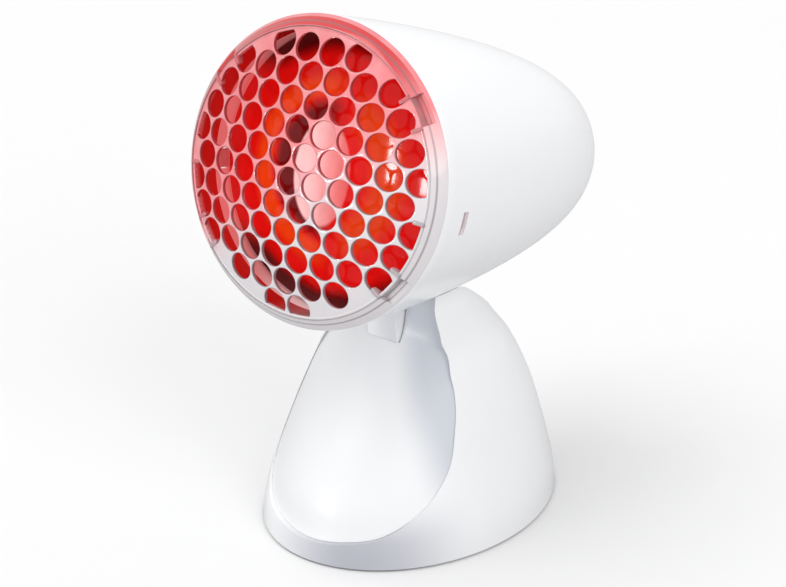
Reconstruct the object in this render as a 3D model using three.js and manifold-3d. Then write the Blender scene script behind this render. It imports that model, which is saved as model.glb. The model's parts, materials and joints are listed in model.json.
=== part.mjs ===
// Infrared heat therapy lamp: a round tilting head on a waisted table stand.
// Lengths are millimetres and angles degrees, +Z is up and the lamp looks along -Y.

import * as THREE from 'three';
import { mergeVertices } from 'three/addons/utils/BufferGeometryUtils.js';
import Module from 'manifold-3d';

const wasm = await Module();
wasm.setup();

// Driving sizes of the whole lamp
const wall = 2.5;
const fit_gap = 0.35;
const overrun = 5;
const bulb_radius = 60.3;
const bulb_play = 2.2;
const rim_radius = bulb_radius + bulb_play + wall;
const head_length = 193.6;
const head_tilt = 9.7;
const stand_height = 116;
const stand_half_width = 61;
const stand_half_depth = 85;
const stand_behind_rim = 87.6;

// Tilt pivot, seen from the side
const pivot_ahead = 11.6;
const pivot_below_top = 18;
const pivot_behind_rim = stand_behind_rim - pivot_ahead;
const pivot_height = stand_height - pivot_below_top;
const rim_above_pivot = 84.2;
const rim_height = pivot_height + rim_above_pivot;
const pivot_pin_radius = 2.5;
const pivot_pin_length = 40;
const bush_wall = 1.45;
const bush_spacing = 2;
const washer_thickness = 1;
const washer_radius = 7;
const tilt_step = 7;
const tilt_stops = 5;

// Neck lug with its front tongue
const lug_width = 21;
const lug_radius = 10;
const lug_above = 8;
const lug_front_inset = 1;
const lug_heel = 12;
const lug_heel_rise = 3;
const lug_heel_lean = 2;
const notch_depth = 0.55;
const notch_half = 0.45;
const tongue_width = 16;
const tongue_ahead = 20.5;
const tongue_below = 7;
const tongue_front = pivot_behind_rim - tongue_ahead;
const tongue_foot = pivot_height - tongue_below;
const tongue_lip = 2;
const tongue_lean = 5;
const tongue_above = 4;
const tongue_root = 6;
const side_play = 0.6;
const sweep_clearance = 1.4;

// Housing details
const latch_slot_length = 10;
const latch_slot_width = 2.2;
const latch_slot_behind_rim = 16.5;
const latch_angle = 7;
const vent_slot_width = 3;
const vent_slot_pitch = 7;
const vent_slot_length = 26;
const vent_slot_count = 5;
const vent_slot_drop = 14;
const wire_bore_radius = 2;
const wire_bore_aside = 5;
const wire_bore_behind_pivot = 8.2;
const wire_bore_length = 60;
const wire_bore_below = 20;

// Grille
const hole_pitch = 12.3;
const hole_radius = 5.6;
const lattice_drop = 1.9;
const hole_cut_share = 0.3;
const grille_play = 1.1;
const grille_radius = rim_radius - wall - grille_play;
const grille_ring_width = 2.8;
const grille_ring_inner = grille_radius - grille_ring_width;
const grille_web = 2;
const grille_edge_rise = 4.9;
const grille_dome_rise = 13.1;
const grille_skirt_length = 9;
const grille_skirt_wall = 2;
const ring_flat = 1.2;
const lip_shares = [[0, 1], [0.46, 0.57], [0.92, 0.11], [1, 0]];
const tab_angles = [36.5, 143.5, 216.5, 323.5];
const tab_half_angle = 6.5;
const tab_step = 1.3;
const rib_width = 1.6;
const rib_length = 7;
const rib_in = 3.4;
const rib_proud = 0.5;
const hook_width = 8;
const hook_thickness = 1.6;
const hook_play = 0.8;

// Bulb, a pressed-glass reflector lamp with an E27 cap
const bulb_behind_rim = 11;
const lens_depth = 12;
const lens_crown_share = 0.6;
const lens_edge = 1.2;
const glass_edge = 3;
const bulb_glass = 2;
const neck_radius = 16;
const neck_from_tail = 92.6;
const neck_behind_lens = head_length - neck_from_tail - bulb_behind_rim;
const neck_length = 14;
const cap_radius = 13.2;
const cap_length = 22;
const cap_cone = 3;
const cap_wall = 0.8;
const thread_ridge = 0.5;
const insulator_radius = 6.5;
const insulator_thickness = 2;
const contact_radius = 3.8;
const contact_thickness = 1.6;
const filament_before_neck = 46;
const filament_behind_lens = neck_behind_lens - filament_before_neck;
const filament_half = 13;
const filament_radius = 1.1;
const support_radius = 0.6;
const support_apart = 2.5;
const support_bend = 8;
const support_rise = 10;
const stem_radius = 5;
const stem_length = 30;
const stem_flare_length = 6;

// Lampholder
const holder_radius = 20;
const holder_set_back = 1;
const holder_floor = 6;
const holder_chamfer = 3;
const holder_back_inset = 2;
const spring_room = 6.35;
const thread_sleeve_wall = 0.7;
const sleeve_set_back = 1;
const bracket_thickness = 1.6;
const strap_width = 15;
const strap_play = 3;
const boss_from_strap_end = 5;
const boss_screw_depth = 12;
const holder_screw_apart = 11;
const leaf_thickness = 0.8;
const leaf_width = 6;
const leaf_half = 4;
const leaf_foot = 9;
const lead_radius = 1.7;
const lead_drop = 13;
const lead_loop = 5;
const lead_from_wall = 2.8;

// Base of the stand
const shell_foot_height = 1;
const cavity_below_lug = 8;
const cavity_top = pivot_height - lug_radius - cavity_below_lug;
const plate_height = 2;
const plate_thickness = 2.5;
const ballast_thickness = 6;
const ballast_inset = 23;
const ballast_end_inset = 43;
const ballast_ahead = 7.6;
const ballast_half_width = stand_half_width - ballast_inset;
const ballast_half_depth = stand_half_depth - ballast_end_inset;
const ballast_behind_rim = stand_behind_rim - ballast_ahead;
const ballast_screw_apart = 18;
const foot_radius = 7;
const front_feet_inset = 29;
const back_feet_inset = 27;
const front_feet_from_end = 31.4;
const back_feet_from_end = 34.6;
const front_feet_ahead = stand_half_depth - front_feet_from_end;
const back_feet_back = stand_half_depth - back_feet_from_end;
const screw_radius = 1.75;
const screw_head_radius = 3.3;
const screw_head_height = 2;
const flat_head_height = 1.2;
const small_screw_length = 10;
const base_screw_length = 12;
const boss_radius = 4.2;
const boss_height = 48;
const bosses_inset = 18;
const front_bosses_from_end = 49.4;
const back_bosses_from_end = 48.6;
const front_bosses_ahead = stand_half_depth - front_bosses_from_end;
const back_bosses_back = stand_half_depth - back_bosses_from_end;
const gland_height = 15;
const gland_radius = 5;
const gland_flange_radius = 7.5;
const gland_flange = 2;
const gland_seat = 1;
const gland_length = 11;
const cord_bore_radius = 3.4;
const terminal_from_ballast = 6;
const terminal_width = 24;
const terminal_depth = 14;
const terminal_behind_rim = ballast_behind_rim + ballast_half_depth + terminal_from_ballast + terminal_depth / 2;
const terminal_height = 11;
const terminal_well_radius = 2.4;
const terminal_well_depth = 6;
const terminal_pitch = 7.5;
const clamp_width = 20;
const clamp_depth = 6;
const clamp_height = 6;
const clamp_from_terminal = 4;
const clamp_groove = 2.6;
const clamp_screw_apart = 7;
const spring_thickness = 0.8;
const spring_width = 6;
const spring_aside = 5;
const spring_reach = 26;
const spring_bend = 13;
const spring_nose = 3;
const spring_screw_behind = 20;
const spring_screw_length = 8;
const lead_above_cavity = 2;

// Numbers of facets and steps
const bullet_segments = 36;
const bullet_steps = 10;
const grille_sides = 36;
const hole_sides = 8;
const bulb_segments = 20;
const lens_steps = 4;
const mirror_steps = 5;
const stand_segments = 32;
const stand_levels = 12;
const round_sides = 16;
const screw_sides = 8;
const hollow_levels = 4;
const face_points = 12;
const face_levels = 10;
const drop_steps = 22;
const merge_reach = 1e-4;

// Materials in the colours of the lamp
const material = (color, roughness, metalness = 0, extra = {}) =>
  new THREE.MeshStandardMaterial({ color, roughness, metalness, ...extra });
const white_gloss = material(0xf1f1f3, 0.3);
const white_satin = material(0xececef, 0.45);
const clear_pink = material(0xf2c3c3, 0.2, 0, { transparent: true, opacity: 0.8 });
const ruby_glass = material(0xc8140f, 0.1);
const silvered_glass = material(0xa8181a, 0.15, 0.4);
const brass = material(0xb99a4b, 0.35, 1);
const steel = material(0x9a9c9f, 0.35, 1);
const tungsten = material(0x5a5c60, 0.4, 1);
const porcelain = material(0xf3efe4, 0.4);
const black_glass = material(0x18181a, 0.2);
const rubber = material(0x2a2a2c, 0.8);
const clear_plastic = material(0xdedede, 0.4);

const quarter = Math.PI / 2;
const radians = THREE.MathUtils.degToRad;

// A closed geometry as a solid, with its faces turned outwards
function solid_of(geometry) {
  let bare = geometry;
  if (!geometry.userData.merged) {
    bare = new THREE.BufferGeometry();
    bare.setAttribute('position', geometry.attributes.position);
    if (geometry.index) bare.setIndex(geometry.index);
    bare = mergeVertices(bare, merge_reach);
  }
  const vertProperties = new Float32Array(bare.attributes.position.array);
  const triVerts = new Uint32Array(bare.index.array);
  const made = new wasm.Manifold(new wasm.Mesh({ numProp: 3, vertProperties, triVerts }));
  if (made.volume() > 0) return made;
  for (let i = 0; i < triVerts.length; i += 3) [triVerts[i], triVerts[i + 1]] = [triVerts[i + 1], triVerts[i]];
  return new wasm.Manifold(new wasm.Mesh({ numProp: 3, vertProperties, triVerts }));
}

// A solid back as a three.js geometry
function geometry_of(part) {
  const mesh = part.getMesh();
  const geometry = new THREE.BufferGeometry();
  geometry.setAttribute('position', new THREE.BufferAttribute(mesh.vertProperties, 3));
  geometry.setIndex(new THREE.BufferAttribute(mesh.triVerts, 1));
  geometry.userData.merged = true;
  return geometry;
}

const join = (...parts) => geometry_of(parts.map(solid_of).reduce((all, part) => all.add(part)));
const common = (...parts) => geometry_of(parts.map(solid_of).reduce((all, part) => all.intersect(part)));
const cut = (part, ...cutters) =>
  geometry_of(cutters.map(solid_of).reduce((left, cutter) => left.subtract(cutter), solid_of(part)));

// A closed loft through rings that have the same number of points
function loft(rings) {
  const count = rings[0].length;
  const positions = rings.flat().flatMap((point) => [point.x, point.y, point.z]);
  const faces = [];
  for (let ring = 0; ring + 1 < rings.length; ring += 1) {
    for (let i = 0; i < count; i += 1) {
      const a = ring * count + i;
      const b = ring * count + (i + 1) % count;
      faces.push(a, b, b + count, a, b + count, a + count);
    }
  }
  const cap = (ring, flip) => {
    const start = ring * count;
    const flat = rings[ring].map((point) => new THREE.Vector2(point.x, point.y));
    const clockwise = THREE.ShapeUtils.isClockWise(flat);
    for (const [a, b, c] of THREE.ShapeUtils.triangulateShape(clockwise ? flat.slice().reverse() : flat, [])) {
      const pick = (index) => start + (clockwise ? count - 1 - index : index);
      if (flip !== clockwise) faces.push(pick(a), pick(c), pick(b));
      else faces.push(pick(a), pick(b), pick(c));
    }
  };
  const up = !THREE.ShapeUtils.isClockWise(rings[0].map((point) => new THREE.Vector2(point.x, point.y)));
  cap(0, up);
  cap(rings.length - 1, !up);
  const geometry = new THREE.BufferGeometry();
  geometry.setAttribute('position', new THREE.Float32BufferAttribute(positions, 3));
  geometry.setIndex(faces);
  geometry.userData.merged = true;
  return geometry;
}

// A body turned about the Y axis from [radius, y] points
const turned = (points, segments) => new THREE.LatheGeometry(points.map(([r, y]) => new THREE.Vector2(r, y)), segments);

// Round bars: along Z from 0, along Y from 0, and along X about their middle
function bar(radius, length, segments) {
  const geometry = new THREE.CylinderGeometry(radius, radius, length, segments);
  return geometry.rotateX(quarter).translate(0, 0, length / 2);
}
const bar_y = (radius, length, segments) => bar(radius, length, segments).rotateX(-quarter);
const bar_x = (radius, length, segments) => bar(radius, length, segments).translate(0, 0, -length / 2).rotateY(quarter);

// A box from its low corner
function block([x, y, z], [width, depth, height]) {
  const geometry = new THREE.BoxGeometry(width, depth, height);
  return geometry.translate(x + width / 2, y + depth / 2, z + height / 2);
}

// A flat outline of [x, y] points, extruded along Z about the middle
function plate_z(points, width) {
  const shape = new THREE.Shape(points.map(([x, y]) => new THREE.Vector2(x, y)));
  return new THREE.ExtrudeGeometry(shape, { depth: width, bevelEnabled: false }).translate(0, 0, -width / 2);
}

// A side outline of [y, z] points, extruded along X about the middle
const side_plate = (points, width) => plate_z(points, width).applyMatrix4(new THREE.Matrix4().makeBasis(
  new THREE.Vector3(0, 1, 0), new THREE.Vector3(0, 0, 1), new THREE.Vector3(1, 0, 0)));

// A round wire along a curve through points
function wire(points, radius, steps, sides) {
  const curve = new THREE.CatmullRomCurve3(points.map((point) => new THREE.Vector3(...point)));
  const section = new THREE.Shape(Array.from({ length: sides }, (_, i) => {
    const angle = 2 * Math.PI * i / sides;
    return new THREE.Vector2(radius * Math.cos(angle), radius * Math.sin(angle));
  }));
  return new THREE.ExtrudeGeometry(section, { steps, extrudePath: curve, bevelEnabled: false });
}

// A screw along +Y with its head's seat at y = 0, and one along +Z with its head's seat at z = 0
const screw = (length, head_height) => join(
  bar(screw_radius, length + head_height / 2, screw_sides).translate(0, 0, -head_height / 2),
  bar(screw_head_radius, head_height, screw_sides).translate(0, 0, -head_height));
const screw_up = (length) => screw(length, flat_head_height);
const screw_y = (length) => screw(length, screw_head_height).rotateX(-quarter);

// The lamp's two frames: the stand stands level, the head is tilted about its rim centre
const assembly = new THREE.Group();
const stand = new THREE.Group();
const head = new THREE.Group();
head.position.z = rim_height;
head.rotation.x = -radians(head_tilt);
assembly.add(stand, head);

function add(parent, name, geometry, look) {
  const mesh = new THREE.Mesh(geometry, look);
  mesh.name = name;
  parent.add(mesh);
}

// A piece drawn in the stand's frame, put in the head's frame, and the way back
const into_head = (part) => part.translate(0, 0, -rim_height).rotateX(radians(head_tilt));
const out_of_head = (part) => part.rotateX(-radians(head_tilt)).translate(0, 0, rim_height);
const at_pivot = (part, x = 0) => part.translate(x, pivot_behind_rim, pivot_height);

// A piece of the head with the head turned up by that many stops
function tilted(part, stop) {
  return part.translate(0, -pivot_behind_rim, -pivot_height).rotateX(-radians(stop * tilt_step))
    .translate(0, pivot_behind_rim, pivot_height);
}
const stops = Array.from({ length: tilt_stops }, (_, i) => i);

// Head housing: a bullet turned from one curve and closed at the tail
const bullet_taper_share = 0.16;
const bullet_side_power_share = 1.92;
const bullet_end_power_share = 0.25;

function bullet_radius(behind, offset) {
  const along = behind / (head_length + offset);
  return (rim_radius + offset) * (1 - along ** bullet_side_power_share) ** bullet_end_power_share
    * (1 - bullet_taper_share * along);
}

// The full bullet, with its mouth carried forward so that it cuts cleanly
function bullet(offset, segments, steps, mouth) {
  const curve = Array.from({ length: steps }, (_, i) => {
    const along = (1 - Math.cos(quarter * i / steps) ** (1 / bullet_end_power_share)) ** (1 / bullet_side_power_share);
    const behind = (head_length + offset) * along;
    return [bullet_radius(behind, offset), behind];
  });
  return turned([[0, -mouth], [rim_radius + offset, -mouth], ...curve, [0, head_length + offset]], segments);
}
const bullet_hollow = bullet(-wall, bullet_segments, bullet_steps, overrun);

// Neck lug with detent notches under it and a tongue before it, drawn in the stand's frame
const lug_top = pivot_height + lug_radius + lug_above;
const lug_outline = (grow) => [
  [pivot_behind_rim - lug_radius + lug_front_inset - grow, lug_top],
  [pivot_behind_rim - lug_radius - grow, pivot_height],
  [pivot_behind_rim, pivot_height - lug_radius - grow],
  [pivot_behind_rim + lug_heel + grow, pivot_height - lug_radius + lug_heel_rise - grow],
  [pivot_behind_rim + lug_heel + lug_heel_lean + grow, lug_top],
];
const tongue_outline = [
  [tongue_front - tongue_lean, lug_top + tongue_above], [tongue_front, tongue_foot],
  [tongue_front + tongue_lip, tongue_foot],
  [pivot_behind_rim - lug_radius + lug_heel_lean, pivot_height - tongue_above],
  [pivot_behind_rim - tongue_root, lug_top + tongue_above],
];
const notches = stops.map((stop) => at_pivot(side_plate([
  [-2 * notch_half, -lug_radius - notch_depth], [2 * notch_half, -lug_radius - notch_depth],
  [0, -lug_radius + notch_depth]], lug_width + 2 * overrun).rotateX(radians(stop * tilt_step))));
const lug = join(side_plate(lug_outline(0), lug_width), at_pivot(bar_x(lug_radius, lug_width, stand_segments)),
  side_plate(tongue_outline, tongue_width));
const bush_bore = pivot_pin_radius + fit_gap + bush_wall;
const wire_bore = bar(wire_bore_radius, wire_bore_length, screw_sides).translate(
  wire_bore_aside, pivot_behind_rim + wire_bore_behind_pivot, pivot_height - wire_bore_below);
const lug_in_head = into_head(cut(lug, ...notches, at_pivot(bar_x(bush_bore, lug_width + 2 * overrun, round_sides)), wire_bore));

// Vent slots low in the tail
const vents = Array.from({ length: vent_slot_count }, (_, i) => block([
  (i - (vent_slot_count - 1) / 2) * vent_slot_pitch - vent_slot_width / 2,
  head_length - vent_slot_length + overrun, -vent_slot_drop - vent_slot_length,
], [vent_slot_width, vent_slot_length, vent_slot_length]));

// A small slot in each side, just behind the rim, a little below the middle
const aside = [latch_angle, 180 - latch_angle];
const latch_slots = aside.map((angle) => block([rim_radius - 2 * wall, latch_slot_behind_rim - latch_slot_width / 2,
  -latch_slot_length / 2], [4 * wall, latch_slot_width, latch_slot_length]).rotateY(radians(angle)));

// Bulb and lampholder, each placed from the one before it
const glass_rim_behind = bulb_behind_rim + lens_depth;
const neck_behind = bulb_behind_rim + neck_behind_lens;
const cap_behind = neck_behind + neck_length;
const insulator_behind = cap_behind + cap_length + fit_gap;
const contact_behind = insulator_behind + insulator_thickness + fit_gap;
const leaf_behind = contact_behind + contact_thickness + fit_gap;
const holder_behind = cap_behind + holder_set_back;
const holder_floor_front = leaf_behind + spring_room;
const holder_back = holder_floor_front + holder_floor;
const bracket_behind = holder_back + fit_gap;
const bracket_back = bracket_behind + bracket_thickness;
const strap_half = bullet_radius(bracket_back, -wall) - strap_play;
const bosses_in_tail = strap_half - boss_from_strap_end;

// Bosses in the tail carry the strap
const tail_bosses = [-1, 1].map((side) => common(bullet(-wall / 2, bullet_segments, bullet_steps, 0),
  bar_y(boss_radius, head_length, round_sides).translate(side * bosses_in_tail, bracket_back, 0)));
const tail_bores = [-1, 1].map((side) =>
  bar_y(screw_radius + fit_gap, boss_screw_depth, screw_sides).translate(side * bosses_in_tail, bracket_behind, 0));
const shell_of_head = cut(join(bullet(0, bullet_segments, bullet_steps, 0), lug_in_head), bullet_hollow,
  into_head(at_pivot(bar_x(bush_bore, lug_width + 2 * overrun, round_sides))), into_head(wire_bore.clone()));
add(head, 'head_housing', cut(join(shell_of_head, ...tail_bosses), ...tail_bores, ...vents, ...latch_slots), white_gloss);

// Grille: holes on a triangular lattice, cut in a flat disc whose points are then raised into a dome
const row_pitch = hole_pitch * Math.sqrt(3) / 2;
const rows_each_way = Math.floor(grille_ring_inner / row_pitch);
const holes_each_way = Math.ceil(grille_ring_inner / hole_pitch);
const holes = [];
for (let row = -rows_each_way; row <= rows_each_way; row += 1) {
  for (let i = -holes_each_way; i <= holes_each_way; i += 1) {
    const x = (i + (row % 2 === 0 ? 0 : 1 / 2)) * hole_pitch;
    const y = row * row_pitch - lattice_drop;
    if (Math.hypot(x, y) < grille_ring_inner - hole_cut_share * hole_radius) {
      holes.push(bar(hole_radius, grille_web + 2 * overrun, hole_sides).translate(x, y, -overrun));
    }
  }
}
const hole_field = bar(grille_ring_inner, grille_web + 2 * overrun, grille_sides).translate(0, 0, -overrun);
const rise_at = (radius) => grille_edge_rise + grille_dome_rise * (1 - (radius / grille_radius) ** 2);
const web = cut(bar(grille_ring_inner + ring_flat, grille_web, grille_sides), common(join(...holes), hole_field));
const web_points = web.attributes.position;
for (let i = 0; i < web_points.count; i += 1) {
  const radius = Math.hypot(web_points.getX(i), web_points.getY(i));
  web_points.setZ(i, web_points.getZ(i) - grille_web + rise_at(radius));
}

// Ring round the web, its rounded lip before the housing's edge, and the skirt inside the housing
const ring_face = rise_at(grille_ring_inner);
const lip_start = grille_ring_inner + ring_flat;
const skirt_inner = grille_radius - grille_skirt_wall;
const ring = turned([[grille_ring_inner, grille_web - ring_face], [grille_ring_inner, -ring_face],
  ...lip_shares.map(([out, up]) => [lip_start + (rim_radius - lip_start) * out, -fit_gap - (ring_face - fit_gap) * up]),
  [grille_radius, -fit_gap], [grille_radius, grille_skirt_length], [skirt_inner, grille_skirt_length],
  [skirt_inner, grille_web - ring_face], [grille_ring_inner, grille_web - ring_face]], grille_sides);

// Four tabs: the lip is stepped down between two radial ribs
const tab_width = 2 * rim_radius * Math.sin(radians(tab_half_angle)) - rib_width;
const tab_steps = tab_angles.map((angle) => block([lip_start, -ring_face - overrun, -tab_width / 2],
  [rim_radius - lip_start + overrun, ring_face + overrun - fit_gap - tab_step, tab_width]).rotateY(radians(angle)));
const rib_start = grille_ring_inner - rib_in;
const rib_outline = [[rib_start, grille_web - rise_at(rib_start)], [rib_start, -rise_at(rib_start) - rib_proud],
  [lip_start, -ring_face - rib_proud], [rib_start + rib_length, -ring_face / 2 - rib_proud],
  [rib_start + rib_length, -fit_gap - tab_step / 2], [skirt_inner, -fit_gap - tab_step / 2]];
const rib_angles = tab_angles.flatMap((angle) => [angle - tab_half_angle, angle + tab_half_angle]);
const ribs = [...rib_angles, ...aside].map((angle) => plate_z(rib_outline, rib_width).rotateY(radians(angle)));

// Two hooks run back from the skirt, inside the wall, to the slots in the housing's sides
const hook_back = latch_slot_behind_rim + latch_slot_width / 2;
const hook_outer = bullet_radius(hook_back, -wall) - hook_play;
const hooks = aside.map((angle) => block([hook_outer - hook_thickness, grille_skirt_length - grille_skirt_wall,
  -hook_width / 2], [hook_thickness, hook_back - grille_skirt_length + grille_skirt_wall, hook_width])
  .rotateY(radians(angle)));
add(head, 'grille', join(cut(join(web.rotateX(quarter), ring), ...tab_steps), ...ribs, ...hooks), clear_pink);

// Bulb: pressed lens, silvered reflector, cap and contacts
function lens_curve(radius, apex) {
  return Array.from({ length: lens_steps + 1 }, (_, i) => {
    const share = i / lens_steps;
    return [radius * share, apex + lens_crown_share * lens_depth * share ** 2.4];
  });
}
const lens_radius = bulb_radius - lens_edge;
add(head, 'bulb_lens', turned([...lens_curve(lens_radius, bulb_behind_rim), [bulb_radius, glass_rim_behind - glass_edge],
  [bulb_radius, glass_rim_behind], [lens_radius - bulb_glass, glass_rim_behind],
  ...lens_curve(lens_radius - bulb_glass, bulb_behind_rim + bulb_glass).reverse()], bulb_segments), ruby_glass);

const mirror_front = glass_rim_behind + fit_gap;
const neck_end = cap_behind - fit_gap;
const cap_inner = cap_radius - cap_wall;
const neck_tip_radius = cap_inner - fit_gap / 2;
const mirror_depth_share = (neck_radius / bulb_radius) ** 2;
const mirror_depth = (neck_behind - mirror_front) / (1 - mirror_depth_share);
const mirror_curve = (offset) => Array.from({ length: mirror_steps + 1 }, (_, i) => {
  const radius = bulb_radius + (neck_radius - bulb_radius) * i / mirror_steps;
  return [radius + offset, mirror_front + mirror_depth * (1 - (radius / bulb_radius) ** 2)];
});
add(head, 'bulb_reflector', turned([...mirror_curve(0), [neck_tip_radius, neck_end],
  [neck_tip_radius - bulb_glass, neck_end], ...mirror_curve(-bulb_glass).reverse(), [bulb_radius, mirror_front]],
bulb_segments), silvered_glass);

const thread_turns = 3;
const cap_straight = cap_length - cap_cone;
const thread = Array.from({ length: 2 * thread_turns - 1 }, (_, i) =>
  [cap_radius - (i % 2 === 0 ? thread_ridge : 0), cap_behind + cap_straight * (i + 1) / (2 * thread_turns)]);
add(head, 'bulb_cap', turned([[cap_inner, cap_behind], [cap_radius, cap_behind], ...thread,
  [cap_radius, cap_behind + cap_straight], [insulator_radius, cap_behind + cap_length],
  [insulator_radius - cap_wall, cap_behind + cap_length - cap_wall], [cap_inner, cap_behind + cap_straight - cap_wall],
  [cap_inner, cap_behind]], 18), brass);
add(head, 'bulb_insulator', bar_y(insulator_radius, insulator_thickness, round_sides).translate(0, insulator_behind, 0), black_glass);
add(head, 'bulb_contact', bar_y(contact_radius, contact_thickness, round_sides).translate(0, contact_behind, 0), brass);

const stem_front = neck_end - stem_length;
const stem_flare_radius = neck_tip_radius - bulb_glass - fit_gap;
add(head, 'bulb_stem', turned([[0, stem_front], [stem_radius, stem_front], [stem_radius, neck_end - stem_flare_length],
  [stem_flare_radius, neck_end - bulb_glass], [stem_flare_radius, neck_end], [0, neck_end]], 16), silvered_glass);
const filament_behind = bulb_behind_rim + filament_behind_lens;
add(head, 'filament', bar_x(filament_radius, 2 * filament_half, screw_sides).translate(0, filament_behind, 0), tungsten);
for (const [name, side] of [['filament_support_left', -1], ['filament_support_right', 1]]) {
  add(head, name, wire([
    [side * support_apart, stem_front - fit_gap, 0], [side * (support_apart + filament_radius), stem_front - support_bend, 0],
    [side * (filament_half - 2 * filament_radius), filament_behind + support_rise, 0],
    [side * (filament_half - filament_radius), filament_behind + filament_radius + fit_gap, 0]], support_radius, 6, 6), tungsten);
}

// Lampholder: porcelain body, threaded sleeve and sprung leaf contact
const sleeve_inner = cap_radius + fit_gap;
const sleeve_outer = sleeve_inner + thread_sleeve_wall;
const holder_bore = sleeve_outer + fit_gap;
const holder_screw_places = [-holder_screw_apart, holder_screw_apart];
add(head, 'lampholder_body', cut(turned([[holder_bore, holder_behind], [holder_radius, holder_behind],
  [holder_radius, holder_back - holder_chamfer], [holder_radius - holder_back_inset, holder_back], [0, holder_back],
  [0, holder_floor_front], [holder_bore, holder_floor_front], [holder_bore, holder_behind]], 20),
...holder_screw_places.map((x) => bar_y(screw_radius + fit_gap, holder_floor, screw_sides)
  .translate(x, holder_back - holder_floor + bulb_glass, 0))), porcelain);
const sleeve_front = holder_behind + sleeve_set_back;
add(head, 'lampholder_sleeve', turned([[sleeve_inner, sleeve_front], [sleeve_outer, sleeve_front],
  [sleeve_outer, holder_floor_front - fit_gap], [sleeve_inner, holder_floor_front - fit_gap],
  [sleeve_inner, sleeve_front]], round_sides), brass);
add(head, 'lampholder_contact', side_plate([[leaf_behind, -leaf_half], [leaf_behind + leaf_thickness, -leaf_half],
  [leaf_behind + leaf_thickness, leaf_half], [holder_floor_front - leaf_thickness, leaf_foot],
  [holder_floor_front, leaf_foot], [holder_floor_front, leaf_foot + leaf_thickness],
  [holder_floor_front - 2 * leaf_thickness, leaf_foot + leaf_thickness], [leaf_behind, leaf_half + leaf_thickness]],
leaf_width), brass);

// Supply lead in the head, from the bore in the neck round to the back of the lampholder
const lead_start = pivot_behind_rim + 2 * lug_radius - fit_gap;
const along_wall = (behind) => [wire_bore_aside, behind, lead_from_wall - bullet_radius(behind, -wall)];
add(head, 'supply_lead_head', wire([along_wall(lead_start), along_wall((lead_start + holder_behind) / 2),
  [wire_bore_aside, holder_floor_front, -holder_radius - 2 * lead_loop],
  [wire_bore_aside, bracket_back + lead_loop, -lead_drop - lead_loop],
  [wire_bore_aside, holder_back + lead_loop, -lead_drop], [wire_bore_aside, holder_back + lead_loop / 2, -lead_drop],
  [wire_bore_aside, holder_back + fit_gap, -lead_drop]], lead_radius, 14, 6), rubber);

// Steel strap that carries the lampholder in the tail, and its screws
const strap = block([-strap_half, bracket_behind, -strap_width / 2], [2 * strap_half, bracket_thickness, strap_width]);
const strap_bores = [-bosses_in_tail, bosses_in_tail, ...holder_screw_places].map((x) =>
  bar_y(screw_radius + fit_gap, bracket_thickness + 2 * overrun, screw_sides).translate(x, bracket_behind - overrun, 0));
add(head, 'lampholder_bracket', cut(strap, ...strap_bores), steel);
for (const [name, side] of [['left', -1], ['right', 1]]) {
  add(head, `bracket_screw_${name}`, screw_y(small_screw_length)
    .translate(side * bosses_in_tail, bracket_behind - fit_gap, 0), steel);
  add(head, `holder_screw_${name}`, screw_y(holder_floor - bulb_glass + bracket_thickness).rotateZ(Math.PI)
    .translate(side * holder_screw_apart, bracket_back + fit_gap, 0), steel);
}

// Pivot: pin, bushes and washers between the lug and the cheeks
const pin_hole = pivot_pin_radius + fit_gap;
const slot_half = lug_width / 2 + washer_thickness + 2 * fit_gap;
add(stand, 'pivot_pin', at_pivot(bar_x(pivot_pin_radius, pivot_pin_length, 16)), steel);
const bush_length = (lug_width - bush_spacing) / 2;
for (const [name, side] of [['left', -1], ['right', 1]]) {
  const bush = cut(bar_x(bush_bore - fit_gap, bush_length, round_sides), bar_x(pin_hole, bush_length + 2 * overrun, 16));
  add(head, `pivot_bush_${name}`, into_head(at_pivot(bush, side * (lug_width - bush_length) / 2)), brass);
  const washer = cut(bar_x(washer_radius, washer_thickness, round_sides), bar_x(pin_hole, washer_thickness + 2 * overrun, 16));
  add(stand, `friction_washer_${name}`, at_pivot(washer, side * (lug_width / 2 + fit_gap + washer_thickness / 2)), clear_plastic);
}

// Stand: one loft of ovals, as shares of the height, half width and half depth
const oval_shares = [
  [0.009, 1, 1, 0], [0.103, 0.984, 0.983, 0.008], [0.216, 0.94, 0.936, 0.017], [0.379, 0.858, 0.855, 0.025],
  [0.517, 0.78, 0.775, 0.036], [0.69, 0.656, 0.645, 0.0635], [0.776, 0.57, 0.553, 0.089],
  [0.862, 0.515, 0.505, 0.148], [0.948, 0.467, 0.43, 0.2], [1, 0.418, 0.383, 0.22], [1.05, 0.37, 0.34, 0.235],
];
const cheek_top = stand_height * oval_shares.at(-1)[0];
function share_at(table, column, level) {
  let i = 0;
  while (i < table.length - 2 && level > table[i + 1][0]) i += 1;
  const [low, high] = [table[i], table[i + 1]];
  const before = table[Math.max(i - 1, 0)];
  const after = table[Math.min(i + 2, table.length - 1)];
  const step = high[0] - low[0];
  const t = (level - low[0]) / step;
  const slope_low = step * (high[column] - before[column]) / (high[0] - before[0]);
  const slope_high = step * (after[column] - low[column]) / (after[0] - low[0]);
  return low[column] * (2 * t ** 3 - 3 * t ** 2 + 1) + slope_low * (t ** 3 - 2 * t ** 2 + t)
    + high[column] * (3 * t ** 2 - 2 * t ** 3) + slope_high * (t ** 3 - t ** 2);
}
function oval_ring(z, inset, plane = z) {
  const level = z / stand_height;
  const a = stand_half_width * share_at(oval_shares, 1, level) - inset;
  const b = stand_half_depth * share_at(oval_shares, 2, level) - inset;
  const middle = stand_behind_rim - stand_half_depth * share_at(oval_shares, 3, level);
  return Array.from({ length: stand_segments }, (_, i) => {
    const angle = 2 * Math.PI * i / stand_segments;
    return new THREE.Vector3(a * Math.cos(angle), middle + b * Math.sin(angle), plane);
  });
}
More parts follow.
